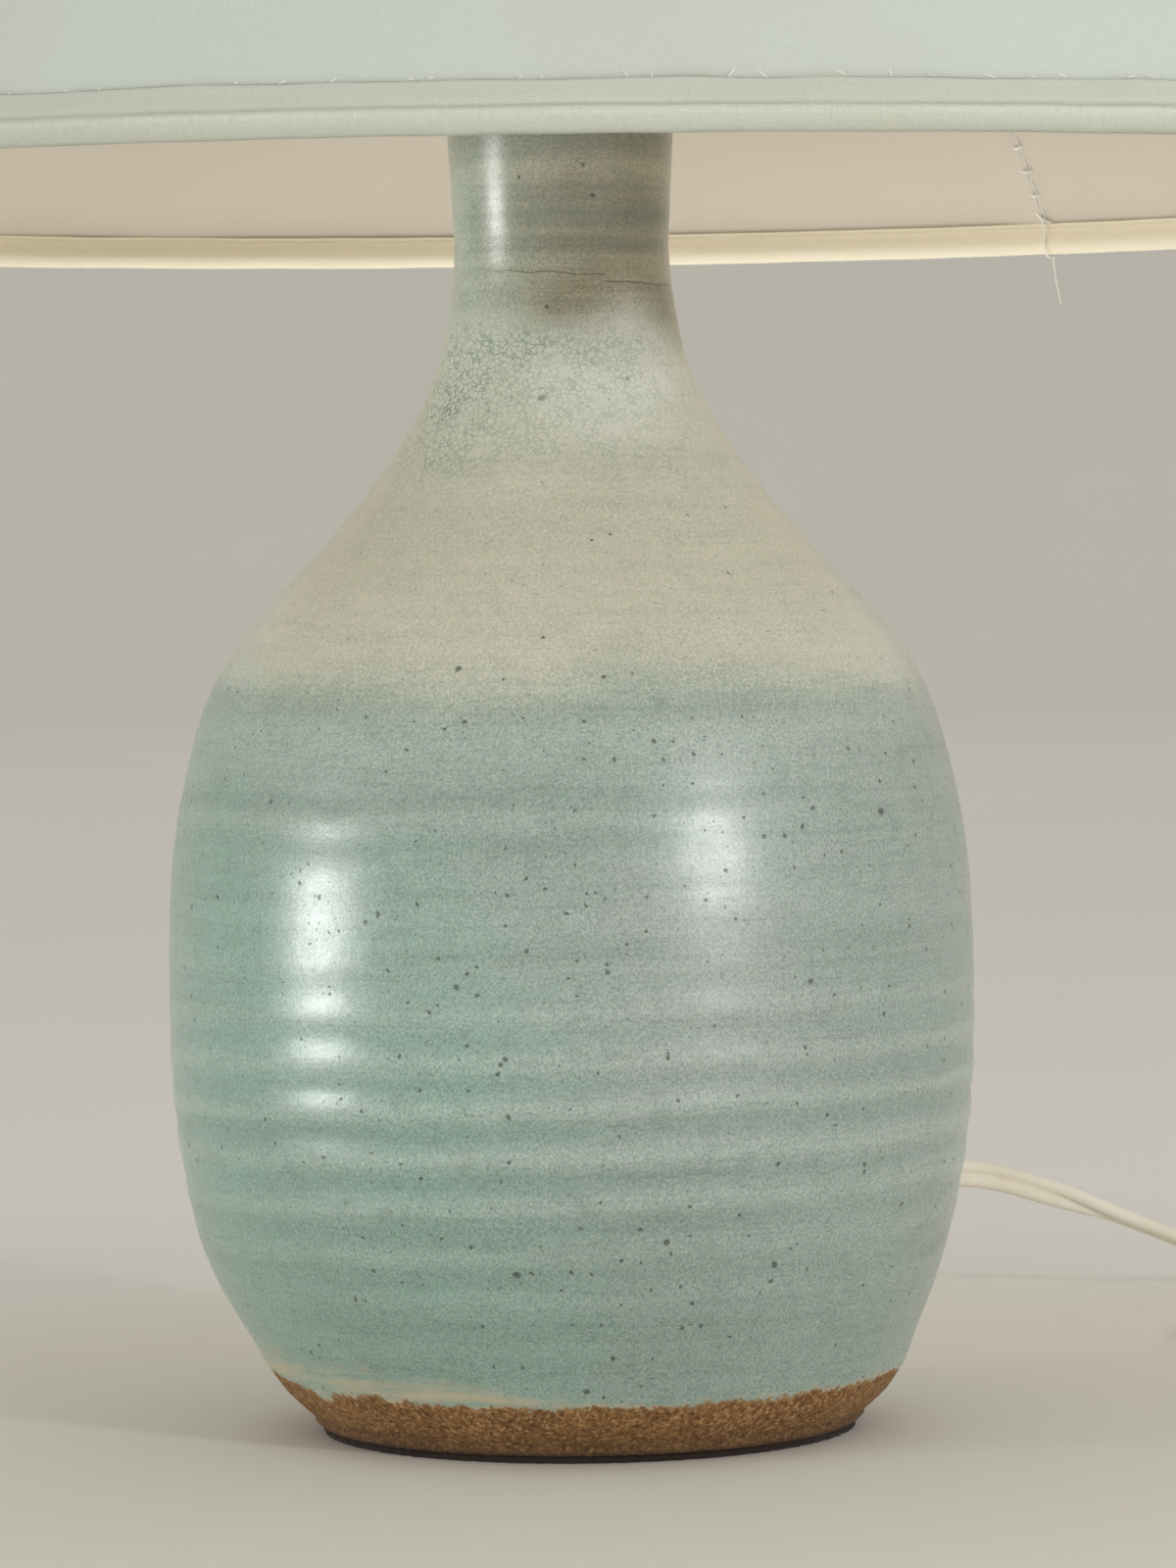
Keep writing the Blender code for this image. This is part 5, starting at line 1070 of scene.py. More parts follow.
def stoneware():
    """The thrown vessel: smooth curve of the knots outside, an even wall, foot ring and throat."""
    box_low, box_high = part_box("ceramic_body")
    foot, top = box_low.z, box_high.z
    line = smooth_line(body_knots(), 24)
    low_part = spaced(line[line[:, 1] <= foot + 0.018], 44)
    high_part = spaced(line[line[:, 1] > foot + 0.018], 168)
    outer = np.concatenate([low_part, high_part])
    turn = np.linspace(0, QUARTER, 7)[1:]
    lip = np.stack(
        [LIP_RADIUS - LIP_ROUND + LIP_ROUND * np.cos(turn), top - LIP_ROUND + LIP_ROUND * np.sin(turn)],
        axis=1,
    )
    throat = NECK_RADIUS - BODY_WALL
    inner = spaced(shifted(line, BODY_WALL), 40)
    keep = (inner[:, 1] > foot + BODY_FLOOR) & (inner[:, 1] < foot + NECK_HEIGHT)
    inner = inner[keep & (inner[:, 0] > throat)][::-1]
    ring = FOOT_RADIUS - FOOT_RING_WIDTH
    edge = FOOT_RADIUS - FOOT_CHAMFER
    start = [(0, foot + FOOT_RECESS), (ring - 2 * FOOT_RECESS, foot + FOOT_RECESS)]
    start += [(ring - FOOT_RECESS, foot + FOOT_RECESS / 2), (ring, foot), (edge, foot)]
    start += [(edge + FOOT_CHAMFER * 0.35, foot + FOOT_CHAMFER * 0.22)]
    start += [(edge + FOOT_CHAMFER * 0.75, foot + FOOT_CHAMFER * 0.60)]
    end = [(throat + 0.001, top), (throat, top - 0.001), (throat, foot + NECK_HEIGHT)]
    last = [(inner[-1, 0], foot + BODY_FLOOR), (0, foot + BODY_FLOOR)]
    outline = np.concatenate([start, outer, lip, end, inner, last])
    outer_rows = np.zeros((len(outline), 1))
    outer_rows[len(start) : len(start) + len(outer)] = 1

    def swell(angle, radius, height):
        """Outer rows get the rings and the glaze, all rows the foot's shift."""
        shift = foot_shift(height) * np.cos(angle)
        return body_swell(angle, radius, height) * outer_rows + shift

    surface = turned(outline, 360, swell, closed=False)
    body = piece(
        "ceramic_body_glazed",
        [surface],
        celadon_glaze(),
        "base",
        ["ceramic_body"],
        sharp=60,
    )
    middle = body_radius_at(HOLE_HEIGHT)
    start = bearing_point(middle - BODY_WALL - 0.004, HOLE_HEIGHT)
    drilled(body, rod(start, bearing_point(middle + 0.004, HOLE_HEIGHT), HOLE_RADIUS))
    mesh = body.data
    spots = np.empty(len(mesh.vertices) * 3)
    mesh.vertices.foreach_get("co", spots)
    spots = spots.reshape(-1, 3)
    angle = np.arctan2(spots[:, 1], spots[:, 0]) % TAU
    above = np.clip((spots[:, 2] - glaze_edge(angle)) * 1000, -20, 20)
    inside = (np.hypot(spots[:, 0], spots[:, 1]) < throat + 0.0005) | (spots[:, 2] < foot + 0.0003)
    above = np.where(inside, -20, above)
    for name, values in (("glaze", above), ("ring", ring_wave(angle, spots[:, 2]))):
        layer = mesh.attributes.new(name, "FLOAT", "POINT")
        layer.data.foreach_set("value", values.astype(np.float32))


def felt():
    """A felt disc glued under the foot: flat faces and a soft edge that frays a little."""
    low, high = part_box("felt_pad")
    outline = eased([(0, low.z), (high.x, low.z), (high.x, high.z), (0, high.z)], 0.0004, 4, False)

    def fray(angle, radius, height):
        """Loose fibres at the rim, and the foot's shift."""
        hairs = waves(angle, height, seed=21, count=12, low=20, high=160, tall=0.001)
        hairs = hairs * FELT_FRAY * (radius > high.x * 0.98)
        return hairs + foot_shift(height) * np.cos(angle)

    surface = turned(outline, 512, fray, closed=False)
    piece("felt_pad_cut", [surface], wool_felt(), "base", ["felt_pad"])


def bearing_point(out, height):
    """A point this far out from the axis along the bearing of the flex."""
    return (out * math.sin(BEARING), out * math.cos(BEARING), height)


def flex_section():
    """Figure of eight: two round cores side by side, with a narrow web between them."""
    size = sizes()
    radius = size.flex_thickness / 2
    centre = (size.flex_width - size.flex_thickness) / 2
    turn = np.linspace(-WEB_TURN, WEB_TURN, 13)
    right = np.stack([centre + radius * np.cos(turn), radius * np.sin(turn)], axis=1)
    return np.concatenate([right, -right])


def free_line():
    """Route, coil and run to the plug as one line: the coil spirals in, climbs, and spirals out."""
    lead = smooth_line(LEAD_ROUTE, 8)
    half = TAU * COIL_TURNS / 2
    angle = np.linspace(0, 2 * half, COIL_TURNS * COIL_STEPS + 1)
    radius = COIL_RADIUS - COIL_PITCH * (half - np.abs(angle - half)) / TAU
    height = LEAD_ROUTE[-1][2] + COIL_RISE * ease(angle, half - QUARTER, half + QUARTER)
    coil = np.stack(
        [COIL_CENTRE[0] + radius * np.cos(angle), COIL_CENTRE[1] - radius * np.sin(angle), height], axis=1
    )
    tail = smooth_line(TAIL_ROUTE, 8)
    line = np.concatenate([lead, coil, tail])
    line[:, 2] -= FLEX_SETTLE
    return line


def free_flex():
    """The flat flex: on edge where it leaves the bush, flat on the table from 13 cm on."""
    line = free_line()
    along = line_steps(line)
    line = spaced(line, round(along[-1] / FLEX_STEP))
    along = line_steps(line)
    run = np.gradient(line, axis=0)
    run /= np.linalg.norm(run, axis=1, keepdims=True)
    level = np.cross(run, (0, 0, 1))
    level /= np.linalg.norm(level, axis=1, keepdims=True)
    upright = np.cross(level, run)
    turn = (QUARTER * (1 - ease(along, TWIST_START, TWIST_END)))[:, None]
    wide = level * np.cos(turn) + upright * np.sin(turn)
    flex = piece(
        "flex",
        [swept(line, flex_section(), wide)],
        ivory_vinyl("extruded_ivory_vinyl", 0.00003),
        "base",
        ["cord_lead", "cord_coil", "cord_tail"],
        sharp=60,
    )


def inner_flex():
    """The flex inside the body, in the upright plane of its bearing, up to the lampholder."""
    route = spaced(smooth_line(INNER_ROUTE, 8), 110)
    line = np.stack([route[:, 0] * math.sin(BEARING), route[:, 0] * math.cos(BEARING), route[:, 1]], axis=1)
    side = (math.cos(BEARING), -math.sin(BEARING), 0)
    piece(
        "flex_inside",
        [swept(line, flex_section(), side)],
        bpy.data.materials["extruded_ivory_vinyl"],
        "base",
        ["inner_flex"],
        sharp=60,
    )


def bush():
    """Strain relief: shank, collar and a tapered nose with grooves, turned and laid on its bearing."""
    shank, collar = HOLE_RADIUS - 0.0003, 0.0058
    corners = [(0, 0), (shank, 0), (shank, BUSH_COLLAR - BUSH_START), (collar, BUSH_COLLAR - BUSH_START)]
    nose = BUSH_COLLAR - BUSH_START + 0.0016
    corners += [(collar, nose), (0.0049, nose + 0.0004)]
    length = BUSH_END - BUSH_START - nose
    for rib in range(BUSH_RIBS):
        for share, depth in ((0.30, 0), (0.40, 0.0008), (0.80, 0.0008), (0.90, 0)):
            place = (rib + share) / BUSH_RIBS
            corners.append((0.0048 - 0.0013 * place - depth, nose + place * length))
    corners += [(0.0034, nose + length), (0, nose + length)]
    outline = eased(corners, 0.0003, 4, False)
    turn = Matrix.Rotation(-BEARING, 4, "Z") @ Matrix.Rotation(-QUARTER, 4, "X")
    matrix = Matrix.Translation(bearing_point(BUSH_START, HOLE_HEIGHT)) @ turn
    piece(
        "flex_bush",
        [placed(turned(outline, 64, closed=False), matrix)],
        ivory_vinyl("moulded_ivory_vinyl", 0.00004),
        "base",
        ["cord_bush"],
    )


def plug():
    """Moulded plug: rounded rectangles lofted from the flex to the face, with finger grips."""
    low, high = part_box("plug_body")
    middle = (low + high) / 2
    half_width, half_thick = (high.x - low.x) / 2, (high.z - low.z) / 2
    table = (
        (0.0, 0.34, 0.50),
        (0.06, 0.42, 0.60),
        (0.36, 0.52, 0.66),
        (0.58, 0.88, 0.90),
        (0.72, 1.0, 1.0),
        (0.93, 1.0, 1.0),
        (1.0, 0.92, 0.90),
    )
    spans = smooth_line(table, 10)
    share = np.clip(spans[:, 0], 0, 1)
    grip = GRIP_DEPTH * np.cos(share * TAU * GRIP_RIDGES)
    grip = grip * ease(share, 0.56, 0.64) * ease(share, 0.96, 0.88)
    angle = np.arange(64) * TAU / 64
    # A power of 3.4 makes the section a rounded rectangle
    square = 2 / 3.4
    x = np.sign(np.cos(angle)) * np.abs(np.cos(angle)) ** square
    z = np.sign(np.sin(angle)) * np.abs(np.sin(angle)) ** square
    wide = np.minimum(spans[:, 1], 1)[:, None] * half_width * x[None, :]
    thick = (np.minimum(spans[:, 2], 1) * half_thick + grip - GRIP_DEPTH)[:, None] * z[None, :]
    depth = np.repeat((high.y - share * (high.y - low.y))[:, None], 64, axis=1)
    points = np.stack([middle.x + wide, depth, middle.z + thick], axis=2)
    surface = {"points": points, "rows": False, "columns": True, "caps": True}
    vinyl = bpy.data.materials["moulded_ivory_vinyl"]
    piece("plug_moulding", [surface], vinyl, "base", ["plug_body"], sharp=50)


def neck_cap():
    """Spun brass cap: a rolled skirt, a quarter-round shoulder and a flat top with its hole."""
    low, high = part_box("neck_cap")
    rim = high.x
    path = eased(
        [(rim, low.z), (rim, high.z - 0.0022), (rim - 0.0022, high.z), (NIPPLE_HOLE, high.z)],
        0.0016,
        6,
        False,
    )
    bead = circle(0.0007, 12) + (rim - 0.0005, low.z + 0.0007)
    surfaces = [turned(walled(path, 0.001), 144), turned(bead, 144)]
    piece("neck_cap_spun", surfaces, brass(), "base", ["neck_cap"])


def saddle():
    """Strip bent up on both sides: one rounded rectangle carried along its middle line."""
    low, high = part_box("harp_saddle")
    prong = high.x - SADDLE_THICKNESS / 2
    rise = SADDLE_RISE - SADDLE_THICKNESS / 2
    half = [(SADDLE_FLAT, 0)]
    half += [(SADDLE_FLAT + out * (prong - SADDLE_FLAT), up * rise) for out, up in SADDLE_SHARES]
    half += [(prong, rise), (prong, rise + 0.0003), (prong, high.z - low.z - SADDLE_THICKNESS / 2)]
    half = np.array(half)
    arm = smooth_line(half[:5], 6)
    widths = np.interp(line_steps(arm), line_steps(half[:5]), SADDLE_WIDTHS[:5])
    arm = np.concatenate([arm, half[5:]])
    widths = np.concatenate([widths, SADDLE_WIDTHS[5:]])
    path = np.concatenate([arm[::-1] * (-1, 1), arm])
    widths = np.concatenate([widths[::-1], widths])
    line = np.stack([path[:, 0], 0 * path[:, 0], path[:, 1] + low.z + SADDLE_THICKNESS / 2], axis=1)
    thick = SADDLE_THICKNESS / 2
    unit = eased([(-1, -1), (1, -1), (1, 1), (-1, 1)], 0.12, 4)
    across = unit[None, :, 0] * widths[:, None] / 2
    section = np.stack([across, np.tile(unit[:, 1] * thick, (len(widths), 1))], axis=2)
    strip = swept(line, section, (0, 1, 0))
    made = piece("harp_saddle_bent", [strip], brass(), "base", ["harp_saddle"])
    middle = low.z + SADDLE_THICKNESS / 2
    drilled(made, rod((0, 0, middle - 0.003), (0, 0, middle + 0.003), NIPPLE_HOLE, 48))


def lampholder():
    """Cap, shell and sleeve: spun brass round a fibre tube, with two rolled beads."""
    metal = brass()
    low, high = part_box("socket_cap")
    rim, collar, top = high.x, 0.0076, high.z - low.z
    dome = ((1.0, 1.0), (0.97, 0.84), (0.86, 0.60), (0.62, 0.36), (0.30, 0.16), (0.0, 0.0))
    rise = top - 0.0038 - 0.007
    path = [(rim + 0.0003, top), (rim, top - 0.001)]
    path += [(collar + out * (rim - collar), 0.0038 + up * rise) for out, up in dome]
    path = smooth_line(path, 6)
    path = np.concatenate([path, [(collar, 0.0006), (collar - 0.0006, 0), (NIPPLE_HOLE, 0)]])
    # The path runs down the outside, so its wall lies to its right
    outline = np.concatenate([path, shifted(path, -SHEET_BRASS)[::-1]]) + (0, low.z)
    piece("socket_cap_spun", [turned(outline, 112)], metal, "base", ["socket_cap"])
    low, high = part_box("socket_shell")
    radius, tall = 0.0165, high.z - low.z
    path = [(radius, 0)]
    for share in (0.24, 0.90):
        for step, out in ((-0.0020, 0), (-0.0011, 0.0005), (0, 0.0008), (0.0011, 0.0005), (0.0020, 0)):
            path.append((radius + out, share * tall + step))
    path += [(radius, tall - 0.0012), (radius + 0.0004, tall)]
    outline = walled(eased(path, 0.0008, 4, False), 0.0006) + (0, low.z)
    shell = piece(
        "socket_shell_spun", [turned(outline, 112)], metal, "base", ["socket_shell"]
    )
    low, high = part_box("socket_sleeve")
    outline = walled(np.array([(high.x, low.z), (high.x, high.z)]), 0.0008)
    paper = moulded_plastic("vulcanised_fibre", linear("#8A6F52"), linear("#6B523A"), 0.8)
    sleeve = piece(
        "socket_sleeve_rolled", [turned(outline, 96)], paper, "base", ["socket_sleeve"]
    )
    level = (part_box("switch_key")[0].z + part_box("switch_key")[1].z) / 2
    for part in (shell, sleeve):
        drilled(part, rod((0, -0.0125, level), (0, -0.0195, level), 0.0027, 32))


def switch_key():
    """Turn key: a round shaft and a flat grip whose outline is a rounded, waisted bow."""
    low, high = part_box("switch_key")
    level = (low.z + high.z) / 2
    start = high.y
    root = -0.0222
    shaft = rod((0, start, level), (0, root - 0.003, level), 0.0021)
    half, thick = (high.x - low.x) / 2, (high.z - low.z) / 2
    length = root - low.y
    table = ((0.0, 0.30), (0.10, 0.48), (0.30, 0.84), (0.52, 0.99), (0.72, 0.97), (0.88, 0.80), (1.0, 0.52))
    edge = smooth_line(table, 6)
    rim = np.concatenate([edge, (edge * (1, -1))[::-1]])
    rim = np.stack([rim[:, 1] * half, root - rim[:, 0] * length], axis=1)
    centre = np.array([0, root - length / 2])
    layers = []
    half_edge = ((0.4, 1), (0.72, 0.975), (0.97, 0.90), (1, 0.80))
    for up, inset in [(-up, inset) for up, inset in half_edge[::-1]] + list(half_edge):
        ring = centre + (rim - centre) * inset
        layers.append(np.column_stack([ring, np.full(len(ring), level + up * thick)]))
    grip = {"points": np.array(layers), "rows": False, "columns": True, "caps": True}
    piece("switch_key_moulded", [shaft, grip], phenolic(), "switch_key", ["switch_key"])


def bulb():
    """Blown globe, rolled screw base, glass insulator and solder tip."""
    low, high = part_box("bulb_glass")
    tall, widest = high.z - low.z, high.x
    neck = 0.0133
    table = ((0.0, 0.0), (0.10, 0.08), (0.30, 0.22), (0.62, 0.37), (0.90, 0.52), (1.0, 0.64))
    side = smooth_line([(neck + out * (widest - neck), up * tall) for out, up in table], 8)
    turn = np.linspace(0, QUARTER, 25)[1:]
    crown = tall * (1 - table[-1][1])
    top = np.stack([widest * np.cos(turn), tall - crown + crown * np.sin(turn)], axis=1)
    path = np.concatenate([side, top])
    path[-1, 0] = 0
    inner = shifted(path, 0.001)
    inner[-1, 0] = 0
    outline = np.concatenate([path, inner[::-1]]) + (0, low.z)
    surface = turned(outline, 112, closed=False)
    surface["rows"] = True
    piece("bulb_glass_blown", [surface], opal_glass(), "bulb", ["bulb_glass"])
    low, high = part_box("bulb_base")
    tall = high.z - low.z
    path = np.array([(0.0102, 0), (0.0131, 0.0024), (0.0131, tall - 0.0008), (0.0127, tall)])
    path = np.concatenate([spaced(path[:2], 4)[:-1], spaced(path[1:3], 90), path[3:]])
    outline = walled(path, 0.0005) + (0, low.z)

    def thread(angle, radius, height):
        """One groove that climbs like a screw, and fades out at both ends."""
        up = height - low.z
        wave = 0.5 + 0.5 * np.cos(TAU * up / BULB_THREAD - angle)
        inside = ease(up, 0.0022, 0.0040) * ease(up, tall - 0.0040, tall - 0.0058)
        return -0.0009 * wave**1.4 * inside

    piece("bulb_base_rolled", [turned(outline, 96, thread)], aluminium(), "bulb", ["bulb_base"])
    low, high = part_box("bulb_insulator")
    outline = eased([(0, low.z), (0.0053, low.z), (0.0102, high.z), (0, high.z)], 0.0006, 5, False)
    vitrite = moulded_plastic("black_vitrite", linear("#17171A"), linear("#0C0C0E"), 0.12)
    surface = turned(outline, 64, closed=False)
    piece("bulb_insulator_cast", [surface], vitrite, "bulb", ["bulb_insulator"])
    low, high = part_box("bulb_contact")
    corners = [(0, low.z), (0.0028, low.z), (0.0046, low.z + 0.0008), (0.0046, high.z), (0, high.z)]
    outline = eased(corners, 0.0005, 5, False)
    solder = turned_metal("solder", linear("#B4B3AE"), linear("#8F8E8A"), 0.34, 0.0006)
    surface = turned(outline, 48, closed=False)
    piece("bulb_contact_soldered", [surface], solder, "bulb_lift", ["bulb_contact"])


def harp():
    """Wire bent into a loop: straight feet, an eased spread, and half an ellipse over the bulb."""
    low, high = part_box("harp")
    saddle_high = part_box("harp_saddle")[1]
    foot = saddle_high.x - SADDLE_THICKNESS / 2
    wide = high.x - HARP_WIRE
    start = low.z + HARP_STRAIGHT
    top = high.z - HARP_WIRE
    widest = top - HARP_ARCH
    t = np.linspace(0, 1, 30)
    leg = np.stack([foot + ease(t, 0, 1) * (wide - foot), start + t * (widest - start)], axis=1)
    turn = np.linspace(0, QUARTER, 40)[1:]
    arch = np.stack([wide * np.cos(turn), widest + HARP_ARCH * np.sin(turn)], axis=1)
    right = np.concatenate([[(foot, low.z)], leg, arch])
    line = np.concatenate([right * (-1, 1), right[-2::-1]])
    line = np.stack([line[:, 0], 0 * line[:, 0], line[:, 1]], axis=1)
    surface = swept(line, circle(HARP_WIRE, 24), (0, 1, 0))
    piece("harp_wire", [surface], brass(), "harp", ["harp"])
    low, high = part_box("harp_stud")
    tall = high.z - low.z
    corners = [(0, 0), (high.x, 0), (high.x, 0.002), (0.0031, 0.002)]
    shank = spaced(np.array([(0.0031, 0.0024), (0.0031, tall - 0.0006)]), 120)
    outline = np.concatenate([eased(corners, 0.0003, 4, False), shank, [(0.0027, tall), (0, tall)]])
    outline = outline + (0, low.z)

    def thread(angle, radius, height):
        """One groove that climbs like a screw, and fades out at both ends."""
        up = height - low.z
        wave = 0.5 + 0.5 * np.cos(TAU * up / STUD_THREAD - angle)
        return -0.00028 * wave * ease(up, 0.0026, 0.0034) * ease(up, tall, tall - 0.001)

    surface = turned(outline, 64, thread, False)
    piece("harp_stud_threaded", [surface], brass(), "harp", ["harp_stud"])
    for name in ("ferrule_left", "ferrule_right"):
        low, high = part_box(name)
        middle = (low + high) / 2
        tall, outer = high.z - low.z, (high.x - low.x) / 2
        step = tall - 0.0026
        corners = [
            (outer - 0.0011, 0),
            (outer, 0),
            (outer, 0.0012),
            (outer - 0.0003, 0.0016),
            (outer - 0.0003, step),
            (0.0035, tall),
            (0.0024, tall),
            (0.0024, step),
            (outer - 0.0011, step - 0.0011),
        ]
        surface = turned(eased(corners, 0.0003, 4), 64)
        surface = placed(surface, Matrix.Translation((middle.x, 0, low.z)))
        piece(name + "_turned", [surface], brass(), name, [name])


def finial():
    """Turned finial: a waisted base, and a knob whose outline swells and closes to a button."""
    low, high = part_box("finial_base")
    tall, wide, waist, bore = high.z - low.z, high.x, 0.0048, 0.0034
    corners = [(bore, 0), (wide, 0), (wide, tall / 5), (waist + 0.0008, tall * 0.36), (waist, tall / 2)]
    corners += [(waist, tall * 0.8), ((waist + wide) / 2, tall), (bore, tall)]
    outline = eased(corners, 0.0006, 6) + (0, low.z)
    surface = turned(outline, 96)
    piece("finial_base_turned", [surface], brass(), "finial_lift", ["finial_base"])
    low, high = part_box("finial_knob")
    tall, wide = high.z - low.z, high.x
    table = ((0.52, 0.0), (0.60, 0.05), (0.60, 0.09), (0.46, 0.15), (0.60, 0.20), (0.84, 0.30), (1.0, 0.48))
    table += ((0.94, 0.64), (0.72, 0.78), (0.50, 0.86), (0.26, 0.90), (0.28, 0.94), (0.20, 0.985), (0.0, 1.0))
    side = smooth_line([(out * wide, up * tall) for out, up in table], 6)
    outline = np.concatenate([[(0, 0.0036), (bore, 0.0036), (bore, 0.0003)], side]) + (0, low.z)
    outline[:, 0] = np.maximum(outline[:, 0], 0)
    surface = turned(outline, 112, closed=False)
    piece("finial_knob_turned", [surface], brass(), "finial", ["finial_knob"])


def cone_line():
    """Bottom wire's centre, slant unit vector, outward unit vector and length of the slant."""
    low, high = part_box("bottom_ring")
    bottom = np.array([high.x - RING_WIRE, (low.z + high.z) / 2])
    low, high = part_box("spider")
    top = np.array([high.x - RING_WIRE, high.z - RING_WIRE])
    length = float(np.linalg.norm(top - bottom))
    slant = (top - bottom) / length
    return bottom, slant, np.array([slant[1], -slant[0]]), length


def cone_points(up, out):
    """Radius and height of points up the slant and out from the line between the wires."""
    bottom, slant, outward, _ = cone_line()
    return bottom + np.multiply.outer(up, slant) + np.multiply.outer(out, outward)


def cone_sheet(out):
    """One face of the shade: straight up the slant, slightly wavy; its flat pattern is a fan."""
    _, slant, outward, length = cone_line()
    columns = SHADE_COLUMNS
    up = np.linspace(0.0004, length - 0.0004, SHADE_ROWS)
    angle = np.arange(columns) * TAU / columns
    base = cone_points(up, np.full(SHADE_ROWS, out))
    ripple = waves(angle[None, :], up[:, None], SHADE_SEED, count=8, low=2, high=11, tall=0.12)
    ripple = ripple * SHADE_RIPPLE
    radius = base[:, :1] + ripple * outward[0]
    height = base[:, 1:] + ripple * outward[1]
    points = np.stack([radius * np.cos(angle), radius * np.sin(angle), height], axis=2)
    # The fan opens at the seam, where the two ends of the cloth lap
    seam = QUARTER - SEAM_BEARING
    shift = round(seam / TAU * columns)
    points = np.roll(points, -shift, axis=1)
    turn = (np.arange(columns + 1) / columns - 0.5) * TAU * -slant[0]
    reach = base[:, 0] / -slant[0]
    flat = np.stack([reach[:, None] * np.sin(turn), reach[:, None] * np.cos(turn)], axis=2)
    return {"points": points, "rows": False, "columns": True, "uv": flat}


def laminated(out, back):
    """A sheet between two distances out from the wires: both faces, closed over their edges."""
    front, rear = cone_sheet(out), cone_sheet(back)
    points = np.concatenate([front["points"], rear["points"][::-1]])
    flat = np.concatenate([front["uv"], rear["uv"][::-1], front["uv"][:1]])
    return {"points": points, "rows": True, "columns": True, "uv": flat}


def shade_cloth():
    """Cloth outside and lining inside, with a hair's breadth of glue between them."""
    middle = LAMINATE_IN + (LAMINATE_OUT - LAMINATE_IN) * 0.45
    cloth = laminated(LAMINATE_OUT, middle)
    weave = woven_cloth("cotton_shade_cloth", colours().cloth, sizes().thread_spacing, 0.00003, 0.18)
    made = piece("shade_cloth", [cloth], weave, "shade", ["shade_cone"], sharp=60)
    lining = laminated(middle - 0.00004, LAMINATE_IN)
    piece("shade_lining", [lining], styrene_lining(), "shade", ["shade_cone"], sharp=60)
    return made


def seam_frame(out, up):
    """Points on the shade at the seam, this far up and out, and the directions up, out and along."""
    _, slant, outward, _ = cone_line()
    radial = np.array([math.sin(SEAM_BEARING), math.cos(SEAM_BEARING), 0])
    spot = cone_points(np.atleast_1d(up), np.full(np.size(up), out))
    points = spot[:, :1] * radial + spot[:, 1:] * np.array([0, 0, 1])
    rise = slant[0] * radial + np.array([0, 0, slant[1]])
    face = outward[0] * radial + np.array([0, 0, outward[1]])
    return points, rise, face, np.cross(rise, face)


def seam():
    """Lap of the lining: a strip that ends in a step at the seam, and the stitches across it."""
    _, _, _, length = cone_line()
    up = np.linspace(0.0042, length - 0.0050, 120)
    points, rise, face, along = seam_frame(LAMINATE_IN, up)
    lift = waves(up * 90, 0, seed=43, count=6, low=1, high=6, tall=1.0)[:, None] * 0.00012
    points = points + lift * along - 0.00016 * face
    section = [(0.0, -0.00022), (0.0, 0.00022), (0.0020, 0.00018), (0.0110, -0.00002), (0.0110, -0.00006)]
    section = np.array(section) * (1, -1)
    strip = swept(points, section, along)
    piece("shade_lap", [strip], bpy.data.materials["styrene_lining"], "shade", ())
    thread, tree, shader = new_finish("cotton_thread", Roughness=0.8, Sheen_Weight=0.3)
    spot = add(tree, "TexCoord")["Object"]
    twist = add(tree, "TexNoise", {"Vector": spot, "Scale": 2600.0, "Detail": 2.0})[0]
    colour = add(tree, "Mix", {0: twist, 6: linear("#FFFFFC"), 7: linear("#F3EFE4")}, data_type="RGBA")[2]
    tree.links.new(colour, shader.inputs["Base Color"])
    # Each stitch lies across the seam and dips into the lining at both ends
    starts = np.arange(0.0065, length - 0.010, STITCH_SPACING)
    points, rise, face, along = seam_frame(LAMINATE_IN, starts)
    draw = np.random.default_rng(41)
    share = np.linspace(-1, 1, 11)
    stitches = []
    for place, point in enumerate(points):
        lean = draw.uniform(-0.25, 0.25) if place else 1.2
        reach = draw.uniform(0.0011, 0.0015)
        path = point + np.outer(share * reach, along + lean * rise)
        path = path + np.outer(0.0009 * share**2 - 0.0008, face)
        stitches.append(swept(path, circle(STITCH_RADIUS, 10), face))
    # Running thread between the stitches, half sunk in the seam
    points, rise, face, along = seam_frame(LAMINATE_IN, np.linspace(0.0055, length - 0.010, 400))
    sunk = 0.00002 - 0.00012 * np.sin(np.linspace(0.0055, length, 400) * TAU / STITCH_SPACING)
    points = points + np.outer(sunk, face) - 0.00025 * along
    stitches.append(swept(points, circle(RUNNING_THREAD_RADIUS, 6), face))
    # Its end crosses the tape and hangs free below the rim
    ends = smooth_line(THREAD_END, 6)
    points = seam_frame(ends[:, 1], ends[:, 0])[0]
    fall = np.linspace(0.1, 1, 12)[:, None]
    hang = points[-1] + fall * THREAD_HANG + fall * (1 - fall) * 0.0012 * along
    stitches.append(swept(np.concatenate([points, hang]), circle(THREAD_END_RADIUS, 8), along))
    piece("seam_stitches", stitches, thread, "shade", ())


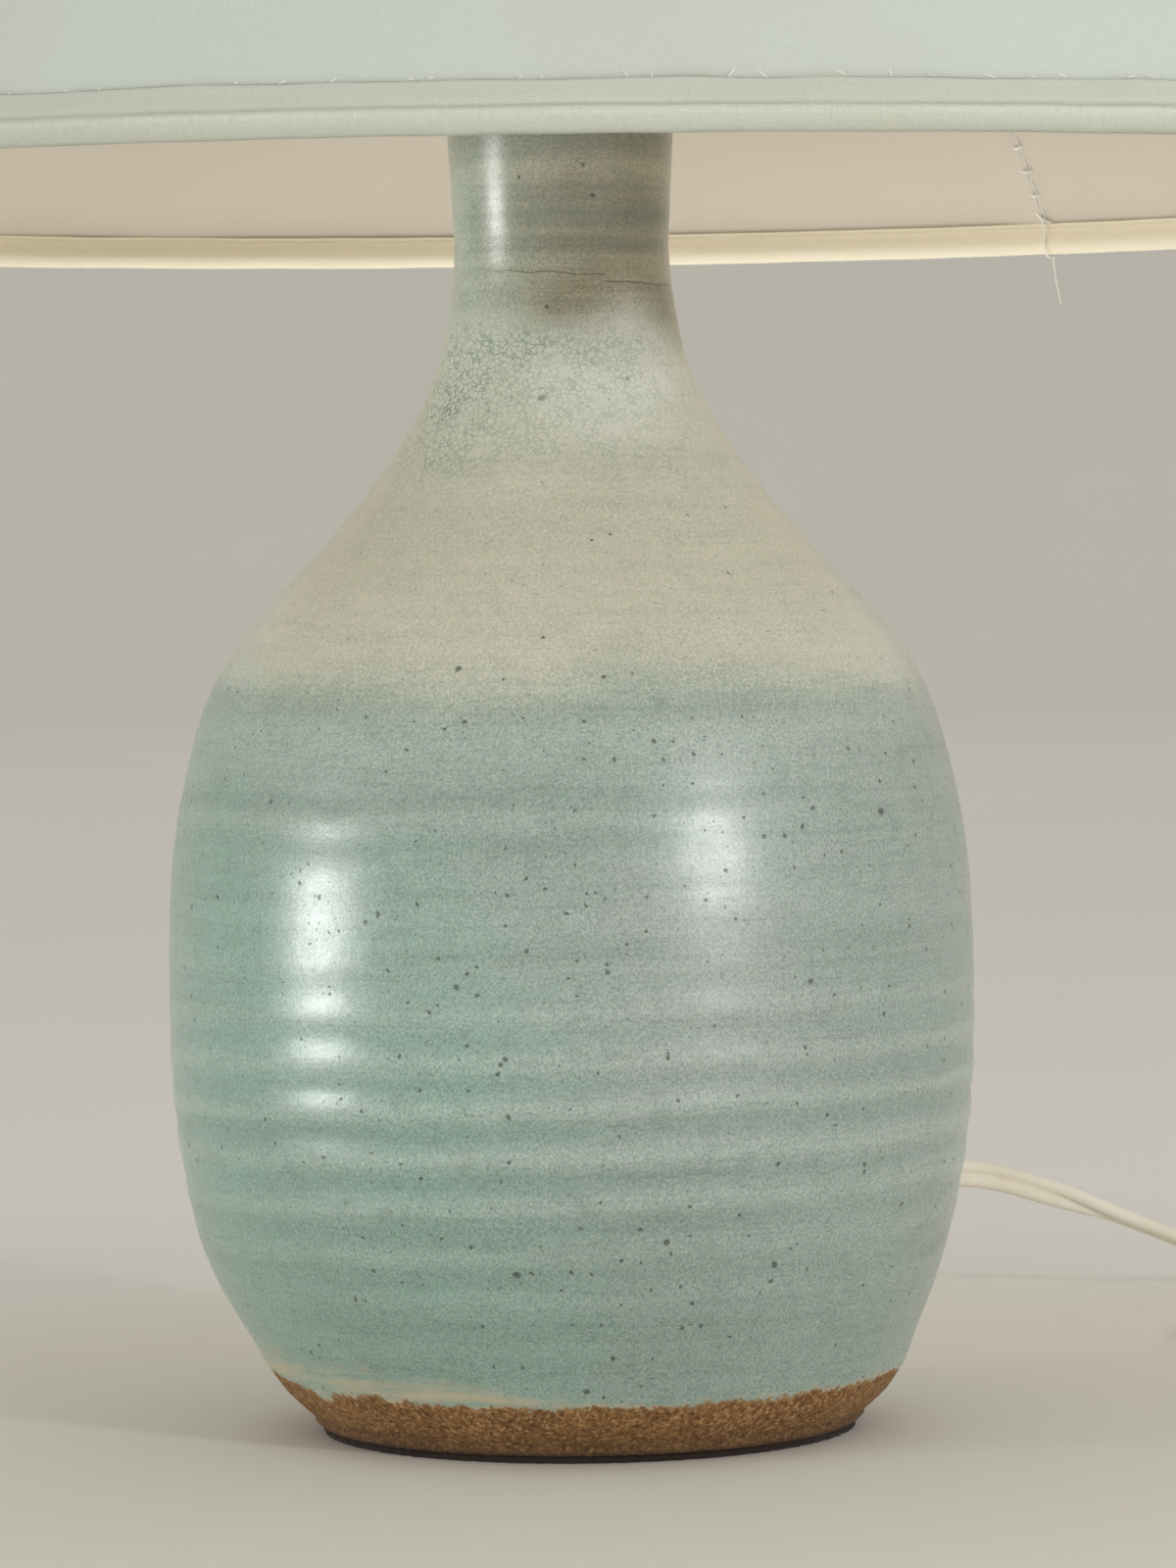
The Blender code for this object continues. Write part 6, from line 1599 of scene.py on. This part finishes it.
def tape_surface(flip, columns, seed):
    """Folded tape carried round the rim: it puckers a little, and its outer edge wanders."""
    size = sizes()
    _, slant, outward, length = cone_line()
    path = smooth_line(TAPE_PATH, 4)
    half = size.tape_thickness / 2
    outline = np.concatenate([shifted(path, half), shifted(path, -half)[::-1]])
    across = line_steps(path)
    place = np.concatenate([across, across[::-1]])
    up, out = outline[:, 0], outline[:, 1]
    if flip:
        up = length - up
    base = cone_points(up, np.zeros(len(up))) + np.multiply.outer(out, outward)
    angle = np.arange(columns) * TAU / columns
    pucker = waves(angle[None, :], place[:, None], seed, count=14, low=12, high=90, tall=0.02)
    pucker = pucker * TAPE_PUCKER
    edge = waves(angle[None, :], 0, seed + 1, count=10, low=4, high=60, tall=1.0) * TAPE_WANDER
    rim = np.exp(-((place / 0.0016) ** 2))[:, None]
    sign = -1 if flip else 1
    radius = base[:, :1] + pucker * outward[0] + edge * rim * slant[0] * sign
    height = base[:, 1:] + pucker * outward[1] + edge * rim * slant[1] * sign
    points = np.stack([radius * np.cos(angle), radius * np.sin(angle), height], axis=2)
    mean = float(base[:, 0].mean())
    turn = np.arange(columns + 1) / columns * TAU * mean
    wrapped = np.concatenate([place, place[:1]])
    flat = np.stack(np.broadcast_arrays(turn[None, :], wrapped[:, None]), axis=2)
    return {"points": points, "rows": True, "columns": True, "uv": flat}


def trims():
    """Folded tapes round the lower and the upper wire, and the hairs of their cut edges."""
    tone = colours()
    # Painted shadow at the cut edge, painted shade in the crease, a painted highlight on the bead and painted
    # shade under the roll, then the cream inside and the stain of the glue, from the tape's outer edge to its
    # inner
    bands = (
        (0.0, 0.00028, 0.00020, "#7C7C6E", 0.80),
        (0.0058, 0.00045, 0.00030, "#9B9E8E", 0.40),
        (0.0071, 0.00060, 0.00040, "#DFE5DB", 0.12),
        (0.0106, 0.0030, 0.00200, "#A2A497", 0.40),
        (0.0121, 0.00060, 0.00040, "#84867A", 0.60),
        (0.0186, 0.0054, 0.00030, "#FDF3DA", 0.97),
        (0.0206, 0.00035, 0.00025, "#D9CDA9", 0.50),
    )
    tape = woven_cloth("cotton_tape", tone.tape, 0.0006, 0.00008, 0.45, bands)
    bottom, top = tape_surface(False, 540, 51), tape_surface(True, 240, 55)
    piece("bottom_tape", [bottom], tape, "shade", ["bottom_trim"], sharp=70)
    piece("top_tape", [top], tape, "shade", ["top_trim"], sharp=70)
    _, slant, outward, _ = cone_line()
    draw = np.random.default_rng(61)
    hairs = []
    for index in range(HAIR_COUNT):
        angle = TAU * (index + draw.uniform(0, 0.9)) / HAIR_COUNT
        radial = np.array([math.cos(angle), math.sin(angle), 0])
        rise = slant[0] * radial + np.array([0, 0, slant[1]])
        face = outward[0] * radial + np.array([0, 0, outward[1]])
        spot = cone_points(TAPE_PATH[0][0] + draw.uniform(-0.0003, 0.0003), TAPE_PATH[0][1])
        base = spot[0] * radial + np.array([0, 0, spot[1]])
        reach, bow = draw.uniform(0.0006, 0.0022), draw.uniform(-0.0006, 0.0006)
        lean = draw.uniform(-1.3, 1.3)
        share = np.linspace(0, 1, 6)[:, None]
        heading = rise * math.cos(lean) + np.cross(rise, face) * math.sin(lean)
        path = base + share * reach * heading + share * (1 - share) * bow * np.cross(heading, face)
        path = path + share * (1 - share) * 0.0006 * face
        hairs.append(swept(path, circle(HAIR_RADIUS, 5), face))
    piece("tape_hairs", hairs, bpy.data.materials["cotton_thread"], "shade", ())


def spider():
    """Top ring, three bent arms and the washer: round rods and a flat ring, welded."""
    low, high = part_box("spider")
    ring = high.x - RING_WIRE
    level = high.z - RING_WIRE
    hoop = turned(circle(RING_WIRE, 14) + (ring, level), 160)
    corners = [(0.0034, 0), (0.0125, 0), (0.0125, 0.0014), (0.0034, 0.0014)]
    seat = low.z + SPIDER_ARM / 2
    washer = turned(eased(corners, 0.0002, 3) + (0, seat), 80)
    start, bend, rise = 0.0095, 0.0155, level - low.z - SPIDER_ARM
    table = ((start, 0.0), (bend, 0.0), (bend + 0.3 * (ring - bend), 0.14 * rise))
    table += ((bend + 0.72 * (ring - bend), 0.72 * rise), (ring, rise))
    line = smooth_line(table, 8)
    line = np.stack([line[:, 0], 0 * line[:, 0], line[:, 1] + low.z + SPIDER_ARM], axis=1)
    arm = swept(line, circle(SPIDER_ARM, 14), (0, 1, 0))
    arms = []
    for index in range(SPIDER_ARMS):
        turn = Matrix.Rotation(SPIDER_START + TAU * index / SPIDER_ARMS, 4, "Z")
        arms.append(placed(arm, turn))
    piece("spider_welded", [hoop, washer, *arms], steel(), "shade", ["spider"])


def carried_over():
    """Finishes for the solids that keep their own shape: fasteners and what is sealed inside."""
    metal, plated, bright, resin = brass(), steel(), aluminium(), phenolic()
    rubber = moulded_plastic("grey_rubber", linear("#4A4947"), linear("#353433"), 0.75)
    table = {
        "lock_nut": metal,
        "lower_nut": plated,
        "lower_washer": plated,
        "nipple": plated,
        "neck_stopper": rubber,
        "socket_core": resin,
        "screw_shell": bright,
        "centre_contact": metal,
        "terminal_screw_left": metal,
        "terminal_screw_right": metal,
        "bottom_ring": plated,
        "plug_blade_left": metal,
        "plug_blade_right": metal,
    }
    for name, finish in table.items():
        node = NODES[name]
        node.data.materials.clear()
        node.data.materials.append(finish)


def softbox(name, azimuth, elevation, distance, width, height, watts, target, mirrored, spread):
    """A lamp panel that faces the target; azimuth turns from the camera's side towards +X.

    mirrored says whether glossy pieces show it, and spread is the angle of its grid in degrees.
    """
    turn, rise = math.radians(azimuth), math.radians(elevation)
    away = Vector((math.sin(turn) * math.cos(rise), -math.cos(turn) * math.cos(rise), math.sin(rise)))
    light = bpy.data.lights.new(name, "AREA")
    light.shape = "ELLIPSE"
    light.size = width
    light.size_y = height
    light.energy = watts
    light.spread = math.radians(spread)
    made = bpy.data.objects.new(name, light)
    made.location = Vector(target) + away * distance
    made.rotation_mode = "QUATERNION"
    made.rotation_quaternion = away.to_track_quat("Z", "Y")
    made.visible_camera = False
    made.visible_glossy = mirrored
    bpy.context.scene.collection.objects.link(made)


def camera():
    """The photograph's view: a long lens low down, tipped and rolled a little."""
    data = bpy.data.cameras.new("camera")
    data.lens = CAMERA_LENS
    data.sensor_width = CAMERA_SENSOR
    data.clip_start = 0.05
    data.clip_end = 50
    made = bpy.data.objects.new("camera", data)
    turn = Matrix.Rotation(QUARTER - CAMERA_PITCH, 4, "X") @ Matrix.Rotation(-CAMERA_ROLL, 4, "Z")
    made.matrix_world = Matrix.Translation(CAMERA_PLACE) @ turn
    bpy.context.scene.collection.objects.link(made)
    bpy.context.scene.camera = made


def floor():
    """Round floor that curves up into a backdrop, plain and pale, far outside every view."""
    turn = np.linspace(0, QUARTER, 24)
    reach, bend = FLOOR_REACH, FLOOR_BEND
    curve = np.stack([reach + bend * np.sin(turn), bend - bend * np.cos(turn)], axis=1)
    side = np.concatenate([[(0.0, 0.0), (0.5 * reach, 0.0)], curve, [(reach + bend, FLOOR_TOP)]])
    paper, tree, shader = new_finish("matt_backdrop_paper", Roughness=0.9)
    spot = add(tree, "TexCoord")["Object"]
    fibre = add(tree, "TexNoise", {"Vector": spot, "Scale": 3.0, "Detail": 3.0})[0]
    darker = tuple(c * 0.94 for c in colours().floor[:3]) + (1.0,)
    colour = add(tree, "Mix", {0: fibre, 6: colours().floor, 7: darker}, data_type="RGBA")[2]
    tree.links.new(colour, shader.inputs["Base Color"])
    made = piece("floor", [turned(side, 96, closed=False)], paper, None, merge=False)
    if made.data.polygons[0].normal.z < 0:
        made.data.flip_normals()


def lights():
    """Softboxes at both sides and above, a panel in front, two that shine up, and a pale room.

    The left softbox and the front panel have a grid, so that they don't glare on the floor.
    """
    for name, settings in SOFTBOXES.items():
        softbox(name, *settings)
    world = bpy.data.worlds.new("pale_room")
    world.use_nodes = True
    background = world.node_tree.nodes["Background"]
    background.inputs["Color"].default_value = linear("#F2F1EE")
    background.inputs["Strength"].default_value = ROOM_LIGHT
    bpy.context.scene.world = world
    bpy.context.scene.view_settings.view_transform = "Standard"


class LAMP_OT_stage(bpy.types.Operator):
    """Camera, floor and lights"""

    bl_idname = "lamp.stage"
    bl_label = "Stage"

    def execute(self, context):
        camera()
        floor()
        lights()
        return {"FINISHED"}


class LAMP_OT_flex(bpy.types.Operator):
    """Flex, its bush and its plug"""

    bl_idname = "lamp.flex"
    bl_label = "Flex"

    def execute(self, context):
        bush()
        plug()
        free_flex()
        inner_flex()
        return {"FINISHED"}


class LAMP_OT_stoneware(bpy.types.Operator):
    """Glazed body and its felt"""

    bl_idname = "lamp.stoneware"
    bl_label = "Stoneware"

    def execute(self, context):
        stoneware()
        felt()
        return {"FINISHED"}


class LAMP_OT_shade(bpy.types.Operator):
    """Cloth, lining, seam, tapes and spider"""

    bl_idname = "lamp.shade"
    bl_label = "Shade"

    def execute(self, context):
        cloth = shade_cloth()
        seam()
        trims()
        spider()
        return {"FINISHED"}


class LAMP_OT_fittings(bpy.types.Operator):
    """Neck cap, saddle, lampholder and switch key"""

    bl_idname = "lamp.fittings"
    bl_label = "Fittings"

    def execute(self, context):
        neck_cap()
        saddle()
        lampholder()
        switch_key()
        carried_over()
        return {"FINISHED"}


class LAMP_OT_bulb(bpy.types.Operator):
    """Lamp bulb"""

    bl_idname = "lamp.bulb"
    bl_label = "Bulb"

    def execute(self, context):
        bulb()
        return {"FINISHED"}


class LAMP_OT_harp(bpy.types.Operator):
    """Harp, stud, ferrules and finial"""

    bl_idname = "lamp.harp"
    bl_label = "Harp and finial"

    def execute(self, context):
        harp()
        finial()
        return {"FINISHED"}


class LAMP_PT_panel(bpy.types.Panel):
    """Sizes, colours and builders of the lamp, in the 3D view's sidebar"""

    bl_idname = "LAMP_PT_panel"
    bl_label = "Ceramic table lamp"
    bl_space_type = "VIEW_3D"
    bl_region_type = "UI"
    bl_category = "Lamp"

    def draw(self, context):
        for group in (context.scene.lamp_sizes, context.scene.lamp_colours):
            for name in group.__annotations__:
                self.layout.prop(group, name)
        for operator in OPERATORS:
            self.layout.operator(operator.bl_idname)


OPERATORS = (
    LAMP_OT_stage,
    LAMP_OT_flex,
    LAMP_OT_stoneware,
    LAMP_OT_shade,
    LAMP_OT_fittings,
    LAMP_OT_bulb,
    LAMP_OT_harp,
)
CLASSES = (LampSizes, LampColours, *OPERATORS, LAMP_PT_panel)


def register():
    """Adds the classes and the two groups of properties to Blender."""
    for item in CLASSES:
        bpy.utils.register_class(item)
    bpy.types.Scene.lamp_sizes = bpy.props.PointerProperty(type=LampSizes)
    bpy.types.Scene.lamp_colours = bpy.props.PointerProperty(type=LampColours)


def unregister():
    """Takes away what register added."""
    del bpy.types.Scene.lamp_colours
    del bpy.types.Scene.lamp_sizes
    for item in reversed(CLASSES):
        bpy.utils.unregister_class(item)


def main():
    """Registers the add-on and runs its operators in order."""
    register()
    for operator in OPERATORS:
        module, name = operator.bl_idname.split(".")
        getattr(getattr(bpy.ops, module), name)()


if __name__ == "__main__":
    main()
